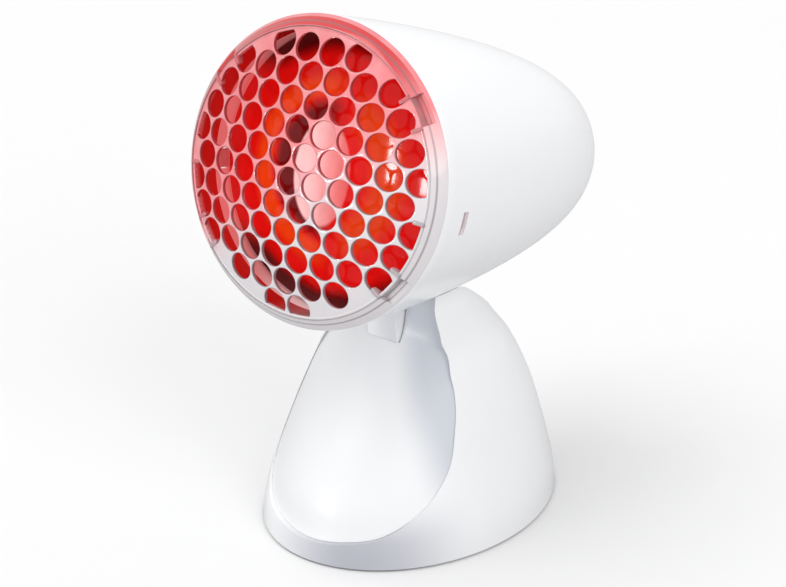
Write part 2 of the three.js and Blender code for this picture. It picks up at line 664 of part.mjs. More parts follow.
const oval_rings = (bottom, top, inset, levels) =>
  Array.from({ length: levels + 1 }, (_, i) => oval_ring(bottom + (top - bottom) * i / levels, inset));
const stand_full = loft(oval_rings(shell_foot_height, cheek_top, 0, stand_levels));
const stand_hollow = loft([oval_ring(shell_foot_height, wall, -overrun),
  ...oval_rings(shell_foot_height, cavity_top, wall, hollow_levels)]);

// Outline of the front panel seen from the front: a drop, as shares of the half width and the height
const drop_shares = [[0, 0.09], [0.262, 0.103], [0.508, 0.138], [0.679, 0.228], [0.734, 0.353], [0.698, 0.5],
  [0.623, 0.645], [0.513, 0.793], [0.487, 0.862], [0.44, 0.948], [0.395, 1.005], [0.33, 1.1]];
const drop_reach = 67.5;
function drop_prism(grow) {
  const half = drop_shares.map(([x, z]) => new THREE.Vector2(x * stand_half_width, z * stand_height));
  const right = new THREE.SplineCurve(half).getPoints(drop_steps);
  const outline = [...right, ...right.slice(1).reverse().map((point) => new THREE.Vector2(-point.x, point.y))];
  const centre = new THREE.Vector2(0, stand_height / 2);
  const grown = outline.map((point) => {
    const away = point.clone().sub(centre);
    return [point.x + away.x / away.length() * grow, point.y + away.y / away.length() * grow];
  });
  const depth = drop_reach + 2 * overrun;
  return plate_z(grown, depth).rotateX(quarter).translate(0, drop_reach + grow - depth / 2, 0);
}

// Face of the front panel: how far it stands before the middle of the stand, and how much it bows back
const face_shares = [[0.03, 0.988, 0.494], [0.103, 0.959, 0.494], [0.224, 0.922, 0.536], [0.353, 0.831, 0.496],
  [0.5, 0.689, 0.385], [0.647, 0.536, 0.25], [0.793, 0.36, 0.1], [0.931, 0.319, 0.035], [1.06, 0.289, 0.02]];
const face_half = 50;
function face_ring(z, back) {
  const level = z / stand_height;
  const front = stand_behind_rim - stand_half_depth * share_at(face_shares, 1, level);
  const bow = stand_half_depth * share_at(face_shares, 2, level);
  const a = stand_half_width * share_at(oval_shares, 1, level);
  const line = (offset) => Array.from({ length: face_points + 1 }, (_, i) => {
    const x = face_half * (2 * i / face_points - 1);
    return new THREE.Vector3(x, front + bow * (x / a) ** 2 + offset, z);
  });
  return [...line(0), ...line(back).reverse()];
}
const face_foot = face_shares[0][0] * stand_height;
const face_top = face_shares.at(-1)[0] * stand_height;
const face_band = loft(Array.from({ length: face_levels + 1 }, (_, i) =>
  face_ring(face_foot + (face_top - face_foot) * i / face_levels, wall)));

// Room for the head and for its lug at every stop of the tilt
const sweep = join(...stops.map((stop) => tilted(out_of_head(bullet(sweep_clearance, 24, 7, 0)), stop)));
const room_front = tongue_front - 2 * lug_radius;
const room_back = pivot_behind_rim + lug_heel + lug_heel_rise;
const room_foot = cavity_top - 2 * fit_gap - wall;
const lug_room = join(side_plate([[room_front, room_foot], [room_back, room_foot],
  [room_back + lug_heel_lean, cheek_top + overrun], [room_front, cheek_top + overrun]], 2 * slot_half),
...stops.map((stop) => tilted(side_plate(lug_outline(sweep_clearance), 2 * slot_half), stop)));

// Stand shell, with four bosses for the base plate's screws
const gland_level = gland_height / stand_height;
const gland_back = stand_behind_rim + stand_half_depth
  * (share_at(oval_shares, 2, gland_level) - share_at(oval_shares, 3, gland_level));
const bosses_apart = stand_half_width - bosses_inset;
const front_bosses_behind = stand_behind_rim - front_bosses_ahead;
const back_bosses_behind = stand_behind_rim + back_bosses_back;
const boss_places = [[-bosses_apart, front_bosses_behind], [bosses_apart, front_bosses_behind],
  [-bosses_apart, back_bosses_behind], [bosses_apart, back_bosses_behind]];
const plate_top = plate_height + plate_thickness;
const bored = (radius, length, height) => boss_places.map(([x, y]) => bar(radius, length, screw_sides).translate(x, y, height));
const spring_screw_place = pivot_behind_rim + spring_screw_behind;
const spring_bore = bar(screw_radius + fit_gap, 2 * spring_screw_length, screw_sides)
  .translate(-spring_aside, spring_screw_place, cavity_top - spring_screw_length);
const base_bosses = boss_places.map(([x, y]) =>
  common(bar(boss_radius, boss_height, round_sides).translate(x, y, plate_top), stand_full));
add(stand, 'stand_shell', cut(join(cut(stand_full, stand_hollow), ...base_bosses), drop_prism(fit_gap), lug_room, sweep,
  at_pivot(bar_x(pin_hole, pivot_pin_length + 2 * fit_gap, round_sides)), spring_bore,
  bar_y(gland_radius + fit_gap, gland_length + 2 * overrun, round_sides).translate(0, gland_back - gland_length - overrun, gland_height),
  bar_y(gland_flange_radius + fit_gap, gland_flange + overrun, round_sides).translate(0, gland_back - gland_seat, gland_height),
  ...bored(screw_radius + fit_gap, base_screw_length + overrun / 2, plate_height)), white_gloss);

// Front panel, with a notch for the tongue
const notch = block([-tongue_width / 2 - side_play, tongue_front - 3 * overrun, tongue_foot - fit_gap],
  [tongue_width + 2 * side_play, 8 * overrun, cheek_top]);
add(stand, 'front_panel', cut(common(face_band, drop_prism(0)), sweep, notch), white_satin);

// Base plate, ballast, feet and screws
const plate_inset = wall + fit_gap;
const ballast_screw_places = [-ballast_screw_apart, ballast_screw_apart];
const screw_hole = screw_radius + fit_gap;
const ballast_bores = (length, height) => ballast_screw_places.map((y) =>
  bar(screw_hole, length, 12).translate(0, ballast_behind_rim + y, height));
add(stand, 'base_plate', cut(loft([oval_ring(plate_height, plate_inset), oval_ring(plate_top, plate_inset, plate_top)]),
  ...bored(screw_hole, plate_top + overrun, 0), ...ballast_bores(plate_top + overrun, 0)), white_satin);
const ballast_shape = new THREE.Shape();
ballast_shape.absellipse(0, 0, ballast_half_width, ballast_half_depth, 0, 2 * Math.PI);
const ballast = new THREE.ExtrudeGeometry(ballast_shape, { depth: ballast_thickness, bevelEnabled: false, curveSegments: 20 });
add(stand, 'ballast_plate', cut(ballast.translate(0, ballast_behind_rim, plate_top), ...bored(boss_radius + fit_gap, boss_height, 0),
  ...ballast_bores(ballast_thickness + overrun, plate_top - overrun)), steel);

const foot_places = {
  foot_front_left: [front_feet_inset - stand_half_width, stand_behind_rim - front_feet_ahead],
  foot_front_right: [stand_half_width - front_feet_inset, stand_behind_rim - front_feet_ahead],
  foot_back_left: [back_feet_inset - stand_half_width, stand_behind_rim + back_feet_back],
  foot_back_right: [stand_half_width - back_feet_inset, stand_behind_rim + back_feet_back],
};
for (const [name, [x, y]] of Object.entries(foot_places)) {
  add(stand, name, bar(foot_radius, plate_height, round_sides).translate(x, y, 0), rubber);
}
boss_places.forEach(([x, y], i) => {
  add(stand, `base_screw_${i + 1}`, screw_up(base_screw_length).translate(x, y, plate_height - fit_gap / 4), steel);
});
for (const [name, y] of [['front', -ballast_screw_apart], ['back', ballast_screw_apart]]) {
  add(stand, `ballast_screw_${name}`, screw_up(plate_thickness + ballast_thickness - fit_gap)
    .translate(0, ballast_behind_rim + y, plate_height - fit_gap / 4), steel);
}

// Cord gland, with its bore left open
const gland_front = gland_back - gland_length + fit_gap;
add(stand, 'cord_gland', cut(join(bar_y(gland_radius, gland_length, round_sides).translate(0, gland_front, gland_height),
  bar_y(gland_flange_radius, gland_flange, round_sides).translate(0, gland_back - gland_seat + fit_gap, gland_height)),
bar_y(cord_bore_radius, gland_length + 2 * overrun, round_sides).translate(0, gland_front - overrun, gland_height)), white_satin);

// Terminal block and cord clamp on the base plate
const wells = [-1, 0, 1].map((i) => bar(terminal_well_radius, terminal_well_depth + overrun, screw_sides)
  .translate(i * terminal_pitch, terminal_behind_rim, plate_top + terminal_height - terminal_well_depth));
add(stand, 'terminal_block', cut(block([-terminal_width / 2, terminal_behind_rim - terminal_depth / 2, plate_top],
  [terminal_width, terminal_depth, terminal_height]), ...wells), clear_plastic);
const clamp_behind = terminal_behind_rim + (terminal_depth + clamp_depth) / 2 + clamp_from_terminal;
const clamp_screw_places = [-clamp_screw_apart, clamp_screw_apart];
add(stand, 'cord_clamp', cut(block([-clamp_width / 2, clamp_behind - clamp_depth / 2, plate_top],
  [clamp_width, clamp_depth, clamp_height]),
bar_y(clamp_groove, clamp_depth + 2 * overrun, round_sides).translate(0, clamp_behind - clamp_depth / 2 - overrun, plate_top + clamp_height),
...clamp_screw_places.map((x) => bar(screw_hole, clamp_height, screw_sides)
  .translate(x, clamp_behind, plate_top + screw_head_height))), clear_plastic);
for (const [name, side] of [['left', -1], ['right', 1]]) {
  add(stand, `clamp_screw_${name}`, screw_up(clamp_height - screw_head_height - fit_gap).rotateX(Math.PI)
    .translate(side * clamp_screw_apart, clamp_behind, plate_top + clamp_height + fit_gap), steel);
}

// Detent spring under the lug, screwed to the roof of the stand's cavity
const nose_top = pivot_height - lug_radius - fit_gap;
const spring_top = cavity_top - fit_gap;
const spring_end = pivot_behind_rim + spring_reach;
const bend_behind = pivot_behind_rim + spring_bend;
const spring_outline = [[spring_end, spring_top], [spring_end, spring_top - spring_thickness],
  [bend_behind, spring_top - spring_thickness], [pivot_behind_rim + 2 * spring_thickness, nose_top - 2 * spring_thickness],
  [pivot_behind_rim - spring_nose, nose_top - spring_nose], [pivot_behind_rim - spring_nose, nose_top - spring_nose + spring_thickness],
  [pivot_behind_rim, nose_top], [pivot_behind_rim + spring_nose, nose_top - spring_thickness], [bend_behind, spring_top]];
add(stand, 'detent_spring', cut(side_plate(spring_outline, spring_width).translate(-spring_aside, 0, 0),
  bar(screw_hole, 2 * overrun, screw_sides).translate(-spring_aside, spring_screw_place, spring_top - overrun)), steel);

add(stand, 'spring_screw', screw_up(spring_screw_length)
  .translate(-spring_aside, spring_screw_place, spring_top - spring_thickness - fit_gap), steel);

// Supply lead in the stand, from the terminal block up to the neck
const lead_foot = plate_top + terminal_height + fit_gap;
const neck_bore = pivot_behind_rim + wire_bore_behind_pivot;
add(stand, 'supply_lead_stand', wire([[wire_bore_aside, terminal_behind_rim, lead_foot],
  [wire_bore_aside, terminal_behind_rim, lead_foot + lead_loop],
  [wire_bore_aside, (terminal_behind_rim + neck_bore) / 2, cavity_top / 2],
  [wire_bore_aside, neck_bore, cavity_top + lead_above_cavity - 2 * lead_loop], [wire_bore_aside, neck_bore, cavity_top + lead_above_cavity]],
lead_radius, 12, 6), rubber);

// Assembly on the middle of its own outline
assembly.updateMatrixWorld(true);
const box = new THREE.Box3().setFromObject(assembly, true);
const middle = box.getCenter(new THREE.Vector3());
assembly.position.set(-middle.x, -middle.y, -box.min.z);

export default assembly;
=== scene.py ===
"""Infrared heat lamp: a tilting head with a clear grille on a waisted table stand.

Sizes are metres. The head's pieces are drawn in the head's own frame, where the middle of the
mouth is the origin and the lamp looks along -Y, and the stand's pieces stand behind the same
point on the table.
"""

import json
import math

import bmesh
import bpy
from bpy.props import FloatProperty, FloatVectorProperty, IntProperty, PointerProperty
from mathutils import Matrix, Vector


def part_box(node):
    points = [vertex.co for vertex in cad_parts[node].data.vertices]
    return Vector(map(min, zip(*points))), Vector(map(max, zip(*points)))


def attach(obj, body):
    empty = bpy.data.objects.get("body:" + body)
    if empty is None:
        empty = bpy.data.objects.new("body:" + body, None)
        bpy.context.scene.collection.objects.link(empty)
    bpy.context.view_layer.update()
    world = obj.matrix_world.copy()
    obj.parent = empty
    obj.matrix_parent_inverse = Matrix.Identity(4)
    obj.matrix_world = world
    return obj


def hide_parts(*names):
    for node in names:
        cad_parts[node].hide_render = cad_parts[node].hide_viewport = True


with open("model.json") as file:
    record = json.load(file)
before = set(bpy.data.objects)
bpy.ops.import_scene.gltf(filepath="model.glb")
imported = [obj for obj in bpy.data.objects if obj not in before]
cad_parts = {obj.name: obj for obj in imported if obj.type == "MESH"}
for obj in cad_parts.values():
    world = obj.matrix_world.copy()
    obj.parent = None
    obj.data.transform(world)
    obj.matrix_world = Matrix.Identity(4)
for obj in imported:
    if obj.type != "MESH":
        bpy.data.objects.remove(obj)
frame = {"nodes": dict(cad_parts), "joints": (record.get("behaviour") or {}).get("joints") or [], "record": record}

bl_info = {
    "name": "Heat lamp",
    "version": (1, 0, 0),
    "blender": (4, 5, 0),
    "location": "View3D > Sidebar > Heat lamp",
    "description": "Models an infrared heat lamp piece by piece around its frame",
    "category": "Object",
}

MM = 0.001
TURN = 2 * math.pi
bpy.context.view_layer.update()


def mm(*values):
    """Lengths given in millimetres, in metres."""
    return tuple(value * MM for value in values)


# The head's own frame, read from the joints
JOINTS = {joint["name"]: joint for joint in frame["joints"]}
LAMP_AXIS = Vector(JOINTS["bulb_unscrew"]["axis"])
RIM = Vector(JOINTS["bulb_unscrew"]["pos_m"])
PIVOT = Vector(JOINTS["head_tilt"]["pos_m"])
TILT_RANGE = math.radians(JOINTS["head_tilt"]["range_deg"][1])
TILT = math.atan2(LAMP_AXIS.z, -LAMP_AXIS.y)
HEAD = Matrix.Translation(RIM) @ Matrix.Rotation(-TILT, 4, "X")
STAND = Matrix.Translation((0, RIM.y, 0))

# Edges sharper than these angles stay sharp, or are rounded
SHARP_ANGLE = math.radians(32)
ROUNDED_ANGLE = math.radians(38)

# Points nearer than these become one, and a cutter reaches this far past what it cuts
WELD = 0.001 * MM
WEB_WELD = 0.01 * MM
BEYOND = 5 * MM

# Angles round the lamp's axis of the grille's tabs, and of its hooks and the slots for them
TAB_ANGLES = (36.5, 143.5, 216.5, 323.5)
HOOK_ANGLES = (173.0, 7.0)

# Steps along the curves, and round the turned pieces
OUTER_STEPS = 56
INNER_STEPS = 40
SWEEP_STEPS = 28
LUG_STEPS = 16
RIM_STEPS = 5
EDGE_STEPS = 4
HOUSING_TURNS = 160
HOLLOW_TURNS = 96
SWEEP_TURNS = 112
RING_TURNS = 180
LENS_TURNS = 128
SHELL_TURNS = 112
SMALL_TURNS = 48

# Roundings of the mouldings' edges
SOFT = 0.25 * MM
SOFT_STEPS = 3
HOUSING_SOFT_STEPS = 2
NECK_SOFT = 0.5 * MM

# The housing's curve, as shares and powers, and how many walls deep its slots are cut
TAPER_SHARE = 0.16
SLOT_WALLS = 4
SIDE_POWER = 1.92
END_POWER = 0.25

# The stand's ovals, as shares: level, half width, half depth and step forward
OVAL_SHARES = (
    (0.009, 1.0, 1.0, 0.0), (0.103, 0.984, 0.983, 0.008), (0.216, 0.94, 0.936, 0.017),
    (0.379, 0.858, 0.855, 0.025), (0.517, 0.78, 0.775, 0.036), (0.69, 0.656, 0.645, 0.0635),
    (0.776, 0.57, 0.553, 0.089), (0.862, 0.515, 0.505, 0.148), (0.948, 0.467, 0.43, 0.2),
    (1.0, 0.418, 0.383, 0.22), (1.05, 0.37, 0.34, 0.235),
)

# The front panel's outline seen from the front, as shares of the half width and the height
DROP_SHARES = (
    (0.0, 0.09), (0.262, 0.103), (0.508, 0.138), (0.679, 0.228), (0.734, 0.353), (0.698, 0.5),
    (0.623, 0.645), (0.504, 0.793), (0.471, 0.862), (0.43, 0.948), (0.395, 1.005), (0.33, 1.1),
)

# The front panel's face, as shares: level, how far forward it stands, and how far it bows back
FACE_SHARES = (
    (0.03, 0.988, 0.494), (0.103, 0.959, 0.494), (0.224, 0.922, 0.536), (0.353, 0.831, 0.496),
    (0.5, 0.689, 0.385), (0.647, 0.536, 0.25), (0.793, 0.36, 0.1), (0.931, 0.319, 0.035),
    (1.06, 0.289, 0.02),
)
FACE_SPAN = 1.03


def length(name, millimetres, description):
    """A length that a user may change, kept in metres."""
    return FloatProperty(name=name, description=description, default=millimetres * MM, min=0.0,
                         subtype="DISTANCE", unit="LENGTH")


def colour(name, default, description):
    """A linear colour that a user may change."""
    return FloatVectorProperty(name=name, description=description, default=default, size=3,
                               min=0.0, max=1.0, subtype="COLOR")


class HeadSizes(bpy.types.PropertyGroup):
    """Sizes of the housing."""

    rim_radius: length("Rim radius", 65, "Outside of the mouth")
    housing_length: length("Length", 193.6, "From the rim to the tail")
    wall: length("Wall", 2.5, "Thickness of the moulding")
    rim_round: length("Rim rounding", 0.9, "Rounding of the rim's edges")
    slot_behind: length("Slot place", 17.5, "How far the side slots lie behind the rim")
    slot_length: length("Slot length", 10, "Length of a side slot")
    slot_width: length("Slot width", 4.2, "Width of a side slot")
    vent_pitch: length("Vent pitch", 7, "From one vent slot to the next")
    vent_width: length("Vent width", 3, "Width of a vent slot")
    vent_length: length("Vent length", 26, "Length of a vent slot")
    vent_drop: length("Vent drop", 14, "How far the vents begin below the axis")
    vents: IntProperty(name="Vents", description="Number of vent slots", default=5, min=0)
    lug_width: length("Lug width", 21, "Width of the neck lug")
    lug_radius: length("Lug radius", 10, "Radius of the lug about the pivot")
    lug_top: length("Lug top", 8, "How far the lug reaches over its round end")
    lug_lean: length("Lug lean", 1, "How far the lug's front leans back")
    heel: length("Heel", 12, "How far the lug reaches behind the pivot")
    heel_rise: length("Heel rise", 3, "Height of the lug's heel over its lowest point")
    heel_lean: length("Heel lean", 2, "How far the lug's back leans back")
    tongue_width: length("Tongue width", 16, "Width of the neck's front tongue")
    tongue_front: length("Tongue place", 55.5, "The tongue's front edge behind the rim")
    tongue_foot: length("Tongue height", 91, "Height of the tongue's lower edge")
    tongue_lip: length("Tongue lip", 2, "Depth of the tongue's lower edge")
    tongue_lean: length("Tongue lean", 5, "How far the tongue's front leans forward")
    tongue_top: length("Tongue top", 4, "How far the tongue reaches over the lug")
    tongue_root: length("Tongue root", 2, "How far the tongue's lower side enters the lug")
    tongue_drop: length("Tongue drop", 4, "How far below the pivot it enters the lug")
    tongue_back: length("Tongue back", 6, "The tongue's upper end before the pivot")


class GrilleSizes(bpy.types.PropertyGroup):
    """Sizes of the clear grille."""

    pitch: length("Hole pitch", 12.3, "From one hole to the next")
    hole_radius: length("Hole radius", 5.6, "Radius of a hole")
    drop: length("Lattice drop", 1.9, "How far the lattice lies below the axis")
    ring_inner: length("Ring inside", 58.6, "Where the ring cuts the outer holes off")
    ring_flat: length("Ring flat", 1.2, "Width of the ring's flat face")
    radius: length("Radius", 61.4, "Outside of the skirt in the mouth")
    lip_radius: length("Lip radius", 65, "Outside of the lip before the housing's edge")
    lip_gap: length("Lip gap", 0.35, "Gap between the lip and the housing")
    lip_edge: length("Lip edge", 0.3, "Rounding of the lip's outer edge")
    lip_seat: length("Lip seat", 0.2, "How far the lip's back lies behind its edge")
    groove_width: length("Groove width", 0.6, "Width of the groove round the ring")
    groove_place: length("Groove place", 0.45, "The groove's start inside the ring's edge")
    web: length("Web", 2, "Thickness of the web")
    edge_round: length("Edge rounding", 0.45, "Rounding of the holes' edges")
    edge_rise: length("Edge rise", 4.9, "How far the ring stands before the rim")
    dome_rise: length("Dome rise", 13.1, "How far the middle stands before the ring")
    skirt: length("Skirt", 9, "How far the skirt reaches behind the rim")
    tab_half_angle: FloatProperty(name="Tab half angle", description="Half the angle a tab takes",
                                  default=math.radians(6.5), subtype="ANGLE", unit="ROTATION")
    tab_step: length("Tab step", 1.3, "Thickness of the lip between two ribs")
    rib: length("Rib width", 1.6, "Width of a rib")
    rib_length: length("Rib length", 7, "Length of a rib")
    rib_in: length("Rib reach", 3.4, "How far a rib reaches in over the web")
    rib_proud: length("Rib height", 0.5, "How far a rib stands before the ring")
    rib_round: length("Rib rounding", 0.22, "Rounding of a rib's edges")
    hook_width: length("Hook width", 8, "Width of a hook")
    hook_thickness: length("Hook thickness", 1.6, "Thickness of a hook")
    hook_root: length("Hook root", 2, "How far a hook runs into the skirt")
    hook_outer: length("Hook radius", 60.6, "Outside of a hook")
    hook_back: length("Hook end", 17.6, "How far a hook reaches behind the rim")


class BulbSizes(bpy.types.PropertyGroup):
    """Sizes of the reflector bulb."""

    radius: length("Radius", 60.3, "Largest radius")
    lens_behind: length("Lens place", 11, "The lens's crown behind the rim")
    rim_behind: length("Bulb rim place", 23, "The bulb's rim behind the mouth's")
    rim_step: length("Bulb rim step", 1.2, "How far the bulb's rim stands out past the lens")
    rim_height: length("Bulb rim height", 3.6, "Length of the bulb's rim along its axis")
    rim_slope: length("Bulb rim slope", 1, "Length of the slope before the rim's full width")
    rim_round: length("Bulb rim rounding", 0.3, "Rounding of the bulb's rim")
    glass: length("Glass", 2, "Thickness of the glass")
    seam: length("Glass seam", 0.35, "Gap between the shell and the pieces at its ends")
    neck_radius: length("Neck radius", 16, "Radius where the reflector meets the neck")
    neck_behind: length("Neck place", 101, "The neck's start behind the mouth")
    neck_tip: length("Neck tip", 12.225, "Radius of the neck in the cap")
    cap_behind: length("Cap place", 115, "The cap's start behind the mouth")


class StandSizes(bpy.types.PropertyGroup):
    """Sizes of the stand."""

    height: length("Height", 116, "Height of the cheeks before they are cut")
    half_width: length("Half width", 61, "Half the foot's width")
    half_depth: length("Half depth", 85, "Half the foot's depth")
    behind: length("Place", 87.6, "The foot's middle behind the rim")
    wall: length("Wall", 2.5, "Thickness of the moulding")
    foot_height: length("Shell foot", 1, "Height of the shell's lower edge")
    cavity_top: length("Cavity top", 80, "Height of the hollow inside")
    clearance: length("Sweep clearance", 1.4, "Gap between the stand and the turning head")
    seam: length("Seam", 0.1, "Gap round the front panel")
    drop_reach: length("Panel reach", 67.5, "How far back the front panel reaches")
    room_front: length("Room front", 20, "How far the neck's room begins before the tongue")
    room_drop: length("Room drop", 4, "How far the neck's room reaches into the hollow")
    room_top: length("Room top", 15, "How far the neck's room reaches over the cheeks")
    room_lean: length("Room lean", 3, "How far the back of the neck's room leans back")
    slot_half: length("Lug slot", 12.2, "Half the width of the slot for the neck")
    notch_play: length("Notch play", 0.6, "Gap at each side of the tongue in the panel")
    notch_drop: length("Notch drop", 0.35, "Gap below the tongue in the panel")
    notch_back: length("Notch back", 25, "How far the notch reaches behind the tongue's front")
    notch_top: length("Notch top", 40, "How far the notch reaches over the cheeks")
    pad_radius: length("Foot radius", 7, "Radius of a rubber foot")
    pad_round: length("Foot rounding", 0.5, "Rounding of a foot's edge")
    outlet_radius: length("Outlet radius", 5.35, "Radius of the lead's outlet")
    outlet_depth: length("Outlet depth", 20, "How far the outlet reaches to each side")
    gland_height: length("Gland height", 15, "Height of the lead's outlet")


class Colours(bpy.types.PropertyGroup):
    """Colours of the lamp's finishes."""

    white: colour("White", (0.9, 0.905, 0.918), "Gloss white moulding")
    shade: colour("Shade", (0.54, 0.565, 0.62), "White where the head or the cheek shades it")
    under: colour("Foot shade", (0.45, 0.46, 0.51), "White low on the stand's front")
    panel: colour("Panel white", (0.8, 0.805, 0.818), "Front panel")
    # Painted reflection of the red bulb on the mouth's inner wall: pale in the middle, red at the left and grey at
    # the right
    mouth_reflection_pale: colour("Mouth pink", (1.0, 0.68, 0.68), "Wall of the mouth in the middle")
    mouth_reflection_red: colour("Mouth red", (0.8, 0.25, 0.25), "Wall of the mouth at the left")
    mouth_reflection_grey: colour("Mouth grey", (0.5, 0.4, 0.42), "Wall of the mouth at the right")
    # Painted light on the web: the bulb's red seen through the clear plastic, and the white housing seen through
    # it as grey
    web: colour("Web", (0.97, 0.27, 0.29), "Clear web over the red bulb")
    web_painted_grey: colour("Web edge", (0.82, 0.8, 0.82), "Clear web beside the white housing")
    web_pale: colour("Web cloud", (1.0, 0.8, 0.8), "Clear web where it is cloudy")
    # Painted red light gathered in the clear lip
    lip: colour("Lip", (0.7, 0.045, 0.05), "Clear lip where the bulb's red gathers in it")
    # Painted shade in the groove and along the lip's inner edge
    line: colour("Groove", (0.22, 0.17, 0.18), "Groove and inner edge of the lip")
    # Painted red light seen in the clear skirt
    skirt: colour("Skirt", (0.85, 0.025, 0.02), "Clear skirt inside the mouth")
    # Painted shade on the walls of the holes, red over the bulb and grey beside the housing
    wall_red_shade: colour("Hole wall red", (0.36, 0.02, 0.03), "Walls of the holes over the bulb")
    wall_grey_shade: colour("Hole wall grey", (0.22, 0.13, 0.15), "Walls of the holes beside the housing")
    ruby: colour("Ruby", (0.72, 0.005, 0.004), "Ruby glass")
    # Painted reflections in the ruby glass: the mirror's bright rings and the dark surroundings, which also give
    # the painted shadow at the poles, and a painted highlight on the crown
    orange_painted_reflection: colour("Orange", (0.8, 0.05, 0.004), "Ruby glass where the mirror shines")
    maroon_painted_dark: colour("Maroon", (0.15, 0.002, 0.003), "Ruby glass where it is dark")
    blush_painted_highlight: colour("Blush", (1.0, 0.44, 0.44), "Ruby glass where the crown shines")
    crown: colour("Crown", (1.0, 0.62, 0.62), "The crown's palest side")


# Meshes

def smoothed(mesh):
    """Smooth faces, with the sharp edges kept."""
    mesh.shade_smooth()
    mesh.set_sharp_from_angle(angle=SHARP_ANGLE)


def mesh_piece(name, bm, place=None):
    """A finished mesh object at the origin, with its place in its mesh and smooth faces."""
    if place is not None:
        bm.transform(place)
    mesh = bpy.data.meshes.new(name)
    bm.to_mesh(mesh)
    bm.free()
    smoothed(mesh)
    piece = bpy.data.objects.new(name, mesh)
    bpy.context.scene.collection.objects.link(piece)
    return piece


def soften(piece, width, segments=SOFT_STEPS):
    """Rounds a piece's sharp edges, which then catch the light."""
    bevel = piece.modifiers.new("soft_edges", "BEVEL")
    bevel.width = width
    bevel.segments = segments
    bevel.limit_method = "ANGLE"
    bevel.angle_limit = ROUNDED_ANGLE
    bevel.use_clamp_overlap = True
    bevel.harden_normals = True


def carve(piece, cutter, operation="DIFFERENCE"):
    """Cuts or joins a piece with another or with a bmesh, which is then gone."""
    if isinstance(cutter, bmesh.types.BMesh):
        cutter = mesh_piece("cutter", cutter)
    modifier = piece.modifiers.new("carve", "BOOLEAN")
    modifier.operation = operation
    modifier.solver = "EXACT"
    modifier.object = cutter
    graph = bpy.context.evaluated_depsgraph_get()
    mesh = bpy.data.meshes.new_from_object(piece.evaluated_get(graph))
    piece.modifiers.remove(modifier)
    old = piece.data
    piece.data = mesh
    mesh.name = piece.name
    bpy.data.meshes.remove(old)
    smoothed(mesh)
    bpy.data.objects.remove(cutter)
    return piece


def dress(piece, body, material, replaced=()):
    """Gives a piece its body and finish, and hides the frame nodes that it stands for."""
    piece.data.materials.clear()
    piece.data.materials.append(material)
    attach(piece, body)
    if replaced:
        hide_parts(*replaced)


def spun(points, steps, closed=True):
    """A body turned about Y from (radius, distance behind) points."""
    bm = bmesh.new()
    verts = [bm.verts.new((radius, behind, 0)) for radius, behind in points]
    pairs = list(zip(verts, verts[1:]))
    if closed:
        pairs.append((verts[-1], verts[0]))
    edges = [bm.edges.new(pair) for pair in pairs]
    bmesh.ops.spin(bm, geom=verts + edges, cent=(0, 0, 0), axis=(0, 1, 0), angle=TURN,
                   steps=steps, use_merge=True)
    bmesh.ops.remove_doubles(bm, verts=bm.verts, dist=WELD)
    bmesh.ops.dissolve_degenerate(bm, edges=bm.edges, dist=WELD)
    bmesh.ops.recalc_face_normals(bm, faces=bm.faces)
    return bm


def arc(centre, radius, start, end, steps):
    """Points of an arc in the profile plane, from one angle in degrees to another."""
    turns = [math.radians(start + (end - start) * i / steps) for i in range(steps + 1)]
    return [(centre[0] + radius * math.cos(turn), centre[1] + radius * math.sin(turn))
            for turn in turns]


def block(low, high):
    """A box from its low corner to its high corner."""
    bm = bmesh.new()
    bmesh.ops.create_cube(bm, size=1)
    low, high = Vector(low), Vector(high)
    bmesh.ops.scale(bm, vec=high - low, verts=bm.verts)
    bmesh.ops.translate(bm, vec=(low + high) / 2, verts=bm.verts)
    return bm


def extruded(outline, along):
    """A flat outline of 3D points pushed along a vector."""
    bm = bmesh.new()
    face = bm.faces.new([bm.verts.new(point) for point in outline])
    made = bmesh.ops.extrude_face_region(bm, geom=[face])
    moved = [item for item in made["geom"] if isinstance(item, bmesh.types.BMVert)]
    bmesh.ops.translate(bm, vec=along, verts=moved)
    bmesh.ops.recalc_face_normals(bm, faces=bm.faces)
    return bm


def side_plate(outline, width):
    """A side outline of (behind, up) points with that width along X, about the middle."""
    return extruded([(-width / 2, behind, up) for behind, up in outline], (width, 0, 0))


def joined(parts):
    """One bmesh from several."""
    whole = bmesh.new()
    for part in parts:
        mesh = bpy.data.meshes.new("part")
        part.to_mesh(mesh)
        part.free()
        whole.from_mesh(mesh)
        bpy.data.meshes.remove(mesh)
    return whole


def lofted(rings):
    """A closed loft through rings of as many points each."""
    bm = bmesh.new()
    loops = []
    for ring in rings:
        verts = [bm.verts.new(point) for point in ring]
        loops.append([bm.edges.new(pair) for pair in zip(verts, verts[1:] + verts[:1])])
    for low, high in zip(loops, loops[1:]):
        bmesh.ops.bridge_loops(bm, edges=low + high)
    for loop in (loops[0], loops[-1]):
        bmesh.ops.contextual_create(bm, geom=loop)
    bmesh.ops.recalc_face_normals(bm, faces=bm.faces)
    return bm


def share_at(table, column, level):
    """A column's smooth value between the table's rows."""
    i = 0
    while i < len(table) - 2 and level > table[i + 1][0]:
        i += 1
    low, high = table[i], table[i + 1]
    before, after = table[max(i - 1, 0)], table[min(i + 2, len(table) - 1)]
    step = high[0] - low[0]
    t = (level - low[0]) / step
    slope_low = step * (high[column] - before[column]) / (high[0] - before[0])
    slope_high = step * (after[column] - low[column]) / (after[0] - low[0])
    return (low[column] * (2 * t**3 - 3 * t**2 + 1) + slope_low * (t**3 - 2 * t**2 + t)
            + high[column] * (3 * t**2 - 2 * t**3) + slope_high * (t**3 - t**2))


# Materials

